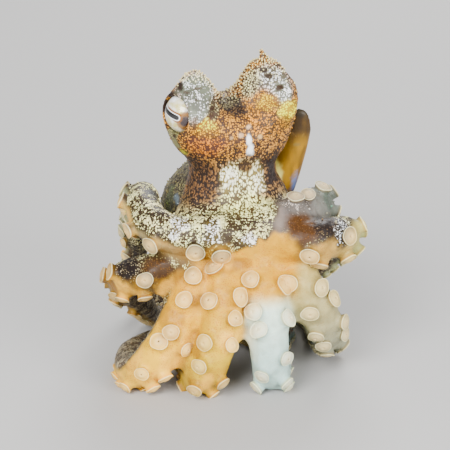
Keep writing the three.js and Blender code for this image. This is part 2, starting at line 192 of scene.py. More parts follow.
# Each row is a place on the arm, then the direction in which its suckers face there.
ARMS = {
    "right_1": arm(
        [
            (8, -5, 33.4, 0, -0.4, -0.9),
            (-2, -9.6, 35, 0, -0.5, -0.9),
            (-9.5, -11, 35.2, -0.1, -0.5, -0.85),
            (-15, -8.8, 36.6, -0.5, -0.4, -0.7),
            (-17.6, -3.2, 38.4, -0.9, -0.2, -0.35),
            (-18.2, 4, 38.6, -1, 0, -0.1),
            (-19, 11.4, 35, -0.95, 0.1, -0.1),
            (-20.2, 18.6, 28.6, -0.95, 0.1, -0.1),
            (-20.8, 25.4, 20.4, -0.9, 0.1, -0.3),
            (-21.2, 31.6, 11.8, -0.7, 0.2, -0.6),
            (-19.6, 37, 4.6, -0.2, 0.3, -0.9),
            (-14.6, 41, 1.6, 0, 0, -1),
            (-9, 42.6, 1, 0, 0, -1),
            (-3.8, 41.4, 0.6, 0, 0, -1),
        ]
    ),
    "right_2": arm(
        [
            (0, -3, 29.5, 0, -0.5, -0.8),
            (-8.6, -8, 28, 0, -0.5, -0.8),
            (-15.4, -8.8, 26.2, -0.2, -0.5, -0.8),
            (-20.6, -5, 23.6, -0.85, -0.3, -0.4),
            (-22.8, 2.4, 19.8, -0.95, -0.1, -0.3),
            (-21.4, 9.8, 14.6, -0.9, 0, -0.4),
            (-18.8, 16.8, 9, -0.7, 0, -0.7),
            (-17.4, 24, 4, -0.3, 0.1, -0.95),
            (-16.4, 30, 1.9, 0, 0, -1),
            (-13, 34.8, 1.2, 0, 0, -1),
            (-8, 36.6, 0.6, 0, 0, -1),
        ]
    ),
    "right_3": arm(
        [
            (-3, -5, 28.5, 0.1, -0.9, -0.2),
            (-7, -11.2, 21.5, 0.3, -0.95, 0),
            (-11.2, -14.2, 14.4, 0.3, -0.95, 0),
            (-15.4, -15, 8.6, 0.2, -0.95, -0.2),
            (-19, -12.4, 4.4, 0, -0.6, -0.8),
            (-21, -6, 3.1, 0, 0, -1),
            (-21.2, 1.6, 2.8, 0, 0, -1),
            (-18.6, 9, 2.4, 0, 0, -1),
            (-14.2, 14.8, 1.9, 0, 0, -1),
            (-9.4, 19, 1.5, 0, 0, -1),
            (-5, 24, 1, 0, 0, -1),
            (-3, 29, 0.6, 0, 0, -1),
        ]
    ),
    "right_4": arm(
        [
            (0.5, -6, 29, 0, -0.9, -0.2),
            (-0.2, -12.6, 22, 0, -1, 0),
            (-1.4, -15.6, 14.5, 0, -1, 0),
            (-3.4, -16.8, 8, 0, -0.95, -0.2),
            (-5, -14.8, 4.1, 0, -0.6, -0.8),
            (-6.8, -8, 3.1, 0, 0, -1),
            (-8, 0, 2.8, 0, 0, -1),
            (-7.4, 9, 2.5, 0, 0, -1),
            (-4.6, 14.6, 2, 0, 0, -1),
            (0.4, 17.6, 1.5, 0, 0, -1),
            (5, 15.8, 1, 0, 0, -1),
            (6.6, 11.6, 0.6, 0, 0, -1),
        ]
    ),
    "left_4": arm(
        [
            (6.5, -5.5, 29, 0.1, -0.9, -0.2),
            (8.4, -11.2, 21.6, 0.25, -0.95, 0),
            (9.3, -13.6, 14, 0.25, -0.95, 0),
            (9.8, -14.8, 7.8, 0.2, -0.95, -0.2),
            (10.2, -12.8, 4.3, 0, -0.6, -0.8),
            (11, -6, 3.1, 0, 0, -1),
            (11, 3, 2.8, 0, 0, -1),
            (12, 11, 2.5, 0, 0, -1),
            (14, 18.6, 1.9, 0, 0, -1),
            (13.2, 24.2, 1.5, 0, 0, -1),
            (9.4, 28, 1, 0, 0, -1),
            (4.4, 28.4, 0.6, 0, 0, -1),
        ]
    ),
    "left_3": arm(
        [
            (11, -3.5, 29, 0.3, -0.85, -0.3),
            (15.8, -7.4, 23.8, 0.45, -0.85, -0.2),
            (19.8, -7.8, 17.8, 0.5, -0.8, -0.3),
            (22, -4.4, 11.8, 0.5, -0.7, -0.5),
            (23.2, 2.4, 7.2, 0.3, -0.4, -0.85),
            (23.2, 10, 4.2, 0.1, -0.1, -1),
            (22.4, 17, 2.4, 0, 0, -1),
            (21.6, 23.6, 1.9, 0, 0, -1),
            (18.4, 29.4, 1.5, 0, 0, -1),
            (13.6, 33.4, 1, 0, 0, -1),
            (8.4, 35, 0.6, 0, 0, -1),
        ]
    ),
    "left_2": arm(
        [
            (9, -3.5, 32, 0.1, -0.4, -0.9),
            (16.4, -8.6, 33.4, 0.2, -0.4, -0.9),
            (21.6, -7.2, 33.2, 0.6, -0.5, -0.6),
            (25.2, -1.4, 32, 0.95, -0.2, -0.3),
            (26, 6, 29.4, 0.98, 0, -0.2),
            (25, 13.4, 25, 0.95, 0.1, -0.3),
            (22.4, 20.6, 19, 0.9, 0.2, -0.4),
            (19, 27.4, 12.4, 0.8, 0.2, -0.6),
            (16, 34, 6, 0.4, 0.3, -0.85),
            (12.6, 40, 2.2, 0, 0.1, -1),
            (7.4, 43.4, 1.2, 0, 0, -1),
            (1.6, 43.6, 0.6, 0, 0, -1),
        ]
    ),
    "left_1": arm(
        [
            (4, -4.5, 34.6, 0, -0.8, 0.5),
            (12.4, -6.6, 36.4, 0.1, -0.85, 0.5),
            (17.4, -1.2, 36.6, 0.5, -0.6, 0.6),
            (20, 6, 36.4, 0.9, -0.2, 0.3),
            (20, 14, 33.4, 0.95, 0.1, -0.1),
            (18, 21.6, 28, 0.9, 0.2, -0.3),
            (14.6, 29, 21.4, 0.8, 0.4, -0.4),
            (10.6, 36, 14.4, 0.6, 0.5, -0.5),
            (5.6, 42.4, 7.2, 0.3, 0.5, -0.8),
            (-0.4, 46.8, 2.2, 0, 0.2, -1),
            (-6.4, 48.4, 1.1, 0, 0, -1),
            (-12, 47.4, 0.6, 0, 0, -1),
        ]
    ),
}
# Webs: the two arms, how far along them each reaches (mm) and how deep its free edge arches.
WEBS = [
    ("right_2", "right_3", 24, 0.3),
    ("right_3", "right_4", 33, 0.2),
    ("right_4", "left_4", 24, 0.25),
    ("left_4", "left_3", 22, 0.25),
    ("right_1", "right_2", 19, 0.35),
    ("left_3", "left_2", 14, 0.3),
    ("left_2", "left_1", 13, 0.3),
    ("left_1", "right_1", 8, 0.3),
]
WEB_START = 3  # mm along the arms where the webs begin
WEB_ACROSS, WEB_DOWN = 26, 34  # balls across and along each web
WEB_THICK, WEB_FILLET = 0.9, 1.6  # mm: the balls' radius, and how softly a web joins on
# Blunt papillae on the mantle's back: how far to the side and how far back, as angles.
MANTLE_PAPILLAE = [
    (-0.5, -0.1),
    (0.55, 0.1),
    (-0.35, 0.55),
    (0.4, 0.75),
    (0.0, 0.3),
    (-1.0, 0.3),
    (1.05, 0.4),
]


def eye_axes(side):
    """The eye's outward, forward and up directions."""
    turn = HEAD_TURN
    forward = np.array([math.sin(turn), -math.cos(turn), 0])
    sideways = np.array([math.cos(turn), math.sin(turn), 0]) * (1 if side == "left" else -1)
    a = math.radians(EYE_OUTWARD)
    outward = unit(sideways * math.cos(a) + forward * math.sin(a))
    ahead = unit(forward - outward * (forward @ outward))
    return outward, ahead, np.array([0.0, 0.0, 1.0])


# The flesh round the eyes, mm: a bulge with a ring for the lid, and the opening inside the ring.
EYE_BULGE = 4.95
LID_RADIUS, LID_HEIGHT, LID_THICK, LID_REACH = 4.35, 2.4, 0.42, 8
OPENING_RADIUS, OPENING_FROM = 4.15, 1.2
SIPHON_CLEARANCE = 4.8  # mm from the middle of the left eye
GAZE = math.radians(11)  # how far the lids and the iris turn forwards of the eye's own axis
PUPIL_AT = (-0.25, 0.5)  # mm from the middle of the eye: forwards and up
PUPIL_HALF, PUPIL_THICK = 2.0, 0.52  # mm: the slit's half length between its round ends, half height
WEDGE_AT, WEDGE_FLATNESS = (3.5, -0.35), 0.35**0.5  # the dark wedge before the slit, from its middle


# ---- fields: how far a place is outside each shape, in mm ----
def euler(turn):
    """The matrix that turns by the three angles, about X first."""
    x, y, z = turn
    cx, sx, cy, sy, cz, sz = (f(a) for a in (x, y, z) for f in (math.cos, math.sin))
    rx = np.array([[1, 0, 0], [0, cx, -sx], [0, sx, cx]])
    ry = np.array([[cy, 0, sy], [0, 1, 0], [-sy, 0, cy]])
    rz = np.array([[cz, -sz, 0], [sz, cz, 0], [0, 0, 1]])
    return rx @ ry @ rz


def blob_field(places, shape):
    """How far places are outside a blob."""
    at, half, turn, egg = shape
    local = (places - np.array(at)) @ euler(turn)
    half = np.array(half, float)
    swell = 1 + egg * np.clip(local[..., 1:2] / half[1], -1, 1)
    size = half * np.concatenate([swell, np.ones_like(swell), swell], -1)
    near = np.sqrt(((local / size) ** 2).sum(-1))
    slope = np.sqrt(((local / size**2) ** 2).sum(-1))
    return near * (near - 1) / np.maximum(slope, 1e-6)


def join(a, b, k):
    """The two fields together, with a fillet about k wide where they meet."""
    share = np.clip(0.5 + 0.5 * (b - a) / k, 0, 1)
    return b + (a - b) * share - k * share * (1 - share)


def carve(a, b, k):
    """Field a without what is inside field b."""
    return -join(-a, b, k)


def round_axis(places, at, axis):
    """How far places lie along an axis through a point, and how far out from it."""
    local = places - at
    height = local @ axis
    return height, np.sqrt(np.maximum((local**2).sum(-1) - height**2, 0))


def lines_round(lines, at, reach):
    """The slices of a window's lines within reach of a place, and where they lie from it."""
    box, local = [], []
    for line, middle in zip(lines, at):
        box.append(slice(*np.searchsorted(line, middle + np.array([-1, 1]) * reach)))
        local.append(line[box[-1]] - line.dtype.type(middle))
    return tuple(box), local


class Grid:
    """A block of places round the animal, each with its distance outside the skin."""

    def __init__(self, low, high, step):
        self.low, self.step = np.array(low, float), step
        self.shape = np.ceil((np.array(high) - low) / step).astype(int) + 1
        self.field = np.full(self.shape, FAR, np.float32)

    def window(self, low, high):
        """The slices of the grid between two corners, and its lines of samples there."""
        first = np.clip(np.floor((low - self.low) / self.step).astype(int), 0, self.shape)
        last = np.clip(np.ceil((high - self.low) / self.step).astype(int) + 1, 0, self.shape)
        lines = [self.low[k] + self.step * np.arange(first[k], last[k]) for k in range(3)]
        return tuple(slice(a, b) for a, b in zip(first, last)), lines

    def places(self, low, high):
        part, lines = self.window(np.asarray(low, float), np.asarray(high, float))
        return part, np.stack(np.meshgrid(*lines, indexing="ij"), -1)

    def add(self, low, high, field, k):
        part, places = self.places(low, high)
        self.field[part] = join(self.field[part], field(places), k)

    def cut(self, low, high, field, k):
        part, places = self.places(low, high)
        self.field[part] = carve(self.field[part], field(places), k)

    def add_blob(self, shape, k):
        reach = max(shape[1]) * 1.15 + MARGIN
        at = np.array(shape[0])
        self.add(at - reach, at + reach, lambda p: blob_field(p, shape), k)

    def at(self, places):
        """The field at the samples nearest to the places."""
        index = np.rint((np.atleast_2d(places) - self.low) / self.step).astype(int)
        return self.field[tuple(np.clip(index, 0, self.shape - 1).T)]

    def limb_field(self, limb, grow=0.0, first=0.0, last=1.0):
        """The window round a limb, its field there, and which sample is nearest."""
        reach = limb.radius.max() + MARGIN
        part, lines = self.window(limb.point.min(0) - reach, limb.point.max(0) + reach)
        lines = [line.astype(np.float32) for line in lines]
        field = np.full([len(line) for line in lines], FAR, np.float32)
        nearest = np.zeros(field.shape, np.int16)
        for i in np.flatnonzero((limb.u >= first) & (limb.u <= last)):
            radius = limb.radius[i] + grow
            half = np.array([radius[0], radius[1], radius.min()])
            axes = np.stack([limb.side[i], limb.oral[i], limb.tangent[i]])
            form = (axes.T / half**2) @ axes
            box, (x, y, z) = lines_round(lines, limb.point[i], half.max() + MARGIN)
            flat = form[0, 0] * x[:, None] ** 2 + 2 * form[0, 1] * x[:, None] * y + form[1, 1] * y**2
            tilt = 2 * (form[0, 2] * x[:, None] + form[1, 2] * y)
            flat, tilt, rise = (share.astype(np.float32) for share in (flat, tilt, form[2, 2] * z**2))
            near = tilt[:, :, None] * z + flat[:, :, None] + rise
            near = (np.sqrt(np.maximum(near, 0)) - 1) * np.float32(half.min())
            closer = near < field[box]
            np.copyto(field[box], near, where=closer)
            np.copyto(nearest[box], np.int16(i), where=closer)
        return part, field, nearest

    def add_limb(self, limb, k):
        """Joins a limb on with a fillet of k mm, a number or one for each sample."""
        part, field, nearest = self.limb_field(limb)
        k = np.broadcast_to(np.asarray(k, np.float32), limb.u.shape)[nearest]
        self.field[part] = join(self.field[part], field, k)


def surface(grid):
    """The field's zero surface: vertices in mm and quads facing out."""
    field, inside = grid.field, grid.field < 0
    size = field.shape
    corners = [(i, j, k) for i in (0, 1) for j in (0, 1) for k in (0, 1)]

    def at(corner):
        return tuple(slice(c, n - 1 + c) for c, n in zip(corner, size))

    count = np.zeros([n - 1 for n in size], np.int8)
    for corner in corners:
        count += inside[at(corner)]
    active = (count > 0) & (count < 8)
    index = np.full(active.shape, -1, np.int64)
    index[active] = np.arange(active.sum())
    cells = np.argwhere(active)
    total, hits = np.zeros((len(cells), 3)), np.zeros(len(cells))
    for a in corners:
        for axis in range(3):
            if a[axis]:
                continue
            b = tuple(c + (k == axis) for k, c in enumerate(a))
            fa, fb = (field[tuple((cells + np.array(c)).T)].astype(float) for c in (a, b))
            crossed = (fa < 0) != (fb < 0)
            share = fa[crossed] / (fa[crossed] - fb[crossed])
            place = np.tile(np.array(a, float), (crossed.sum(), 1))
            place[:, axis] = share
            total[crossed] += place
            hits[crossed] += 1
    vertices = grid.low + (cells + total / hits[:, None]) * grid.step
    quads = []
    for axis in range(3):
        u, v = [k for k in range(3) if k != axis]
        one = [slice(1, -1)] * 3
        two = [slice(1, -1)] * 3
        one[axis], two[axis] = slice(0, -1), slice(1, None)
        crossed = inside[tuple(one)] != inside[tuple(two)]
        at_edge = np.argwhere(crossed)
        at_edge[:, u] += 1
        at_edge[:, v] += 1
        low_inside = inside[tuple(at_edge.T)]
        ring = []
        for du, dv in ((-1, -1), (0, -1), (0, 0), (-1, 0)):
            cell = at_edge.copy()
            cell[:, u] += du
            cell[:, v] += dv
            ring.append(index[tuple(cell.T)])
        ring = np.stack(ring, 1)
        flip = low_inside if axis == 1 else ~low_inside
        ring[flip] = ring[flip][:, ::-1]
        quads.append(ring)
    return vertices, np.concatenate(quads)


# ---- small helpers for meshes ----
def edges_of(quads):
    """Each edge of the quads once, as a pair of vertices."""
    pairs = np.concatenate([quads[:, [i, (i + 1) % 4]] for i in range(4)])
    return np.unique(np.sort(pairs, 1), axis=0)


def relaxed(vertices, edges, times, share=0.5, weight=None):
    """Vertices moved towards the middle of their neighbours, several times."""
    v = vertices.copy()
    degree = np.bincount(edges.ravel(), minlength=len(v))[:, None]
    keep = share if weight is None else share * weight[:, None]
    for _ in range(times):
        total = np.stack(
            [
                np.bincount(edges[:, 0], v[edges[:, 1], k], len(v))
                + np.bincount(edges[:, 1], v[edges[:, 0], k], len(v))
                for k in range(3)
            ],
            1,
        )
        v += (total / np.maximum(degree, 1) - v) * keep
    return v


def normals_of(vertices, quads):
    """The outward direction at each vertex."""
    a, b, c, d = (vertices[quads[:, i]] for i in range(4))
    face = np.cross(c - a, d - b)
    total = np.zeros_like(vertices)
    for i in range(4):
        for k in range(3):
            total[:, k] += np.bincount(quads[:, i], face[:, k], len(vertices))
    return unit(total)


def noise(places, size, seed):
    """Smooth noise from -1 to 1 with features about size mm across."""
    rng = np.random.default_rng(seed)
    lattice = rng.uniform(-1, 1, (32, 32, 32))
    p = places / size + rng.uniform(0, 32, 3)
    i = np.floor(p).astype(int)
    w = p - i
    w = w * w * (3 - 2 * w)
    total = 0
    for dx in (0, 1):
        for dy in (0, 1):
            for dz in (0, 1):
                value = lattice[(i[:, 0] + dx) % 32, (i[:, 1] + dy) % 32, (i[:, 2] + dz) % 32]
                weight = np.ones(len(p))
                for k, d in enumerate((dx, dy, dz)):
                    weight = weight * (w[:, k] if d else 1 - w[:, k])
                total = total + value * weight
    return total


def placement():
    """What is added to a place in the routes' frame to put it in the row frame, mm."""
    low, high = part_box("eye_right")
    return np.array((low + high) / 2) / MM - np.array(EYE_AT["right"])


def new_mesh(name, vertices, faces, attributes):
    """A mesh object from places in mm in the routes' frame."""
    mesh = bpy.data.meshes.new(name)
    places = (np.asarray(vertices) + placement()) * MM
    mesh.from_pydata(places.tolist(), [], [tuple(f) for f in faces])
    for key, values in attributes.items():
        values = np.asarray(values, np.float32)
        if values.ndim == 1:
            mesh.attributes.new(key, "FLOAT", "POINT").data.foreach_set("value", values)
        else:
            four = np.concatenate([values, np.ones((len(values), 1), np.float32)], 1)
            mesh.attributes.new(key, "FLOAT_COLOR", "POINT").data.foreach_set("color", four.ravel())
    mesh.validate()
    mesh.shade_smooth()
    obj = bpy.data.objects.new(name, mesh)
    bpy.context.scene.collection.objects.link(obj)
    return obj


# ---- suckers ----
def sucker_places(limb, settings):
    """An arm's suckers, in two rows: each one's foot, axis, direction along the arm and rim radius."""
    places = []
    rng = np.random.default_rng(int(abs(limb.point[-1]).sum() * 100))
    u, side = settings.first_share, 1
    while u < settings.last_share:
        point, tangent, oral, across, radius = (row[0] for row in limb.at(u))
        rim = radius[0] * settings.rim_share * rng.uniform(0.92, 1.08)
        flat = smooth(4.5 - point[2], 0, 2.5)
        lean = side * mix(settings.splay, 1.05, flat)
        lean += rng.uniform(-0.2, 0.2)
        axis = oral * math.cos(lean) + across * math.sin(lean) + tangent * rng.uniform(-0.42, 0.42)
        axis = unit(axis)
        places.append((point + axis * (radius[1] * 0.96), axis, tangent, rim))
        u += rim * settings.pitch / limb.length
        side = -side
    return places


STALK = [(-1.0, 1.0), (-0.1, 0.9), (0.3, 0.8), (0.62, 0.82)]  # height, radius, in rim radii
# The sucker's section in rim radii: from the middle of its face over the rim and down its side.
DISC = [
    (0.0, 1.06),
    (0.05, 1.08),
    (0.09, 1.19),
    (0.2, 1.24),
    (0.36, 1.22),
    (0.52, 1.17),
    (0.66, 1.1),
    (0.78, 1.03),
    (0.86, 1.0),
    (0.92, 1.02),
    (0.97, 1.04),
    (1.0, 1.0),
    (0.99, 0.94),
    (0.95, 0.82),
    (0.91, 0.68),
    (0.88, 0.5),
    (0.87, 0.3),
    (0.86, 0.05),
    (0.84, -0.35),
    (0.0, -0.35),
]
RIM = 11  # the section's row on the rim
DISC_FLOOR = 0.02  # mm: the lowest that a disc reaches above the floor


def stalk_field(places, foot, axis, rim):
    """How far places are outside a sucker's stalk."""
    local = places - foot
    height = local @ axis / rim
    out = np.sqrt(np.maximum((local**2).sum(-1) / rim**2 - height**2, 0))
    heights, radii = zip(*STALK)
    wide = np.interp(height, heights, radii)
    over = np.maximum(height - heights[-1], heights[0] - height)
    return np.maximum(out - wide, over) * rim


def disc_mesh(foot, axis, tangent, rim, seed):
    """One sucker's cupped disc: vertices, quads, and each vertex's share of the rim radius."""
    rng = np.random.default_rng(seed)
    sides = int(np.clip(round(rim * 15), 10, 32))
    along = unit(tangent - axis * (tangent @ axis))
    across = np.cross(axis, along)
    angle = np.arange(sides) / sides * 2 * math.pi

    def waves(*sizes):
        return sum(a * np.sin(n * angle + rng.uniform(0, 6.28)) for n, a in sizes)

    outline = 1 + waves((2, 0.06), (3, 0.03), (5, 0.015))
    lift = waves((2, 0.035), (3, 0.03))
    rings, shares = [], []
    for k, (r, h) in enumerate(DISC):
        if r == 0:
            rings.append(np.array([foot + axis * h * rim]))
            shares.append([0.0])
            continue
        spread = r * mix(1, outline, min(1, r**2))
        height = h + lift * r**3
        ring = (
            foot
            + (along * np.cos(angle)[:, None] + across * np.sin(angle)[:, None]) * (spread * rim)[:, None]
            + axis * (height * rim)[:, None]
        )
        rings.append(ring)
        shares.append(np.full(sides, r if k <= RIM else 2 + DISC[RIM][1] - h))
    starts = np.concatenate([[0], np.cumsum([len(r) for r in rings])])
    quads, tris = [], []
    step = np.arange(sides)
    following = (step + 1) % sides
    for k in range(len(rings) - 1):
        a, b = starts[k], starts[k + 1]
        if len(rings[k]) == 1:
            tris.append(np.stack([np.full(sides, a), b + step, b + following], 1))
        elif len(rings[k + 1]) == 1:
            tris.append(np.stack([a + step, np.full(sides, b), a + following], 1))
        else:
            quads.append(np.stack([a + step, b + step, b + following, a + following], 1))
    return np.concatenate(rings), np.concatenate(quads), np.concatenate(tris), np.concatenate(shares)


# ---- colours ----
# How the standard view mixes red, green and blue before its curve and parts them again after it.
VIEW_MIXES = np.array(((0.7, 0.1, 0.2), (0.2, 0.65, 0.15), (0.25, 0.15, 0.6)))
VIEW_PARTS = np.array(((1.8, -0.45, -0.35), (-0.2, 1.6, -0.4), (-0.3, -0.4, 1.7)))
STUDIO_LIGHT = 4.6  # how brightly the studio lights a front of the skin, in its reflectance
DARKEST, PALEST = 0.0015, 0.9  # reflectance


def tone(name):
    """The reflectance that looks #rrggbb in the studio's light through the standard view."""
    shown = VIEW_MIXES @ [int(name[i : i + 2], 16) / 255 for i in (1, 3, 5)]
    shown = np.clip(shown, 0.004, 0.91)
    light = np.exp(1.6 * np.log(shown / (1.02 - shown)) - 1.38 * shown - 0.73)
    return np.clip(VIEW_PARTS @ light / STUDIO_LIGHT, DARKEST, PALEST)


# Colours of an arm's sucker side, from its base (0) to its tip (1).
ORAL = {
    "right_1": ((0, "#e0b068"), (0.14, "#e0c090"), (0.3, "#c8c8b0"), (1, "#b9c0b8")),
    "right_2": ((0, "#ecb850"), (0.12, "#e4ac48"), (0.3, "#dfb460"), (1, "#d4ccb4")),
    "right_3": ((0, "#f2c868"), (0.12, "#f4d080"), (0.3, "#f2d898"), (1, "#d8ceb4")),
    "right_4": ((0, "#f2cc70"), (0.14, "#f6d274"), (0.32, "#ecd48c"), (1, "#d8ceb4")),
    "left_4": ((0, "#f0d498"), (0.1, "#eee2c8"), (0.17, "#e0e4e0"), (0.3, "#d6dedc"), (1, "#c8cfcc")),
    "left_3": ((0, "#e6cc98"), (0.12, "#dccfaa"), (0.3, "#ccc8b4"), (1, "#b4c4c8")),
    "left_2": ((0, "#e6c080"), (0.16, "#e2c898"), (0.3, "#d8d4b4"), (1, "#bfc6c0")),
    "left_1": ((0, "#dcbc94"), (0.1, "#b8b0ac"), (0.3, "#b8beb4"), (1, "#b4bab0")),
}
# From where to where, across each arm, its back's pattern gives way to the sucker side.
BACK_ENDS = {
    "right_1": (0.55, 0.85),
    "right_2": (0.3, 0.62),
    "right_3": (-0.25, 0.15),
    "right_4": (-0.3, 0.1),
    "left_4": (-0.5, -0.1),
    "left_3": (-0.3, 0.1),
    "left_2": (0.25, 0.6),
    "left_1": (0.1, 0.5),
}
# How specked the sucker side is, if not 1.
SPECKED = {"left_4": 0.25, "left_3": 0.5, "left_1": 0.4}


def coat(ground, cell, **amounts):
    """A finish: the ground between the cells, the cells, and how strongly what is on them shows."""
    return {"ground": ground, "cell": cell, **amounts}


NETTED = coat("#70502c", "#f2e6d6", fine=0.94, coarse=0.9)
MANTLE_SPOT = coat("#9c8460", "#ece4cc", fine=1.1, coarse=1)
COLLAR_BLOTCH = coat("#a08444", "#f8f3e6", fine=1.14, coarse=0.7)
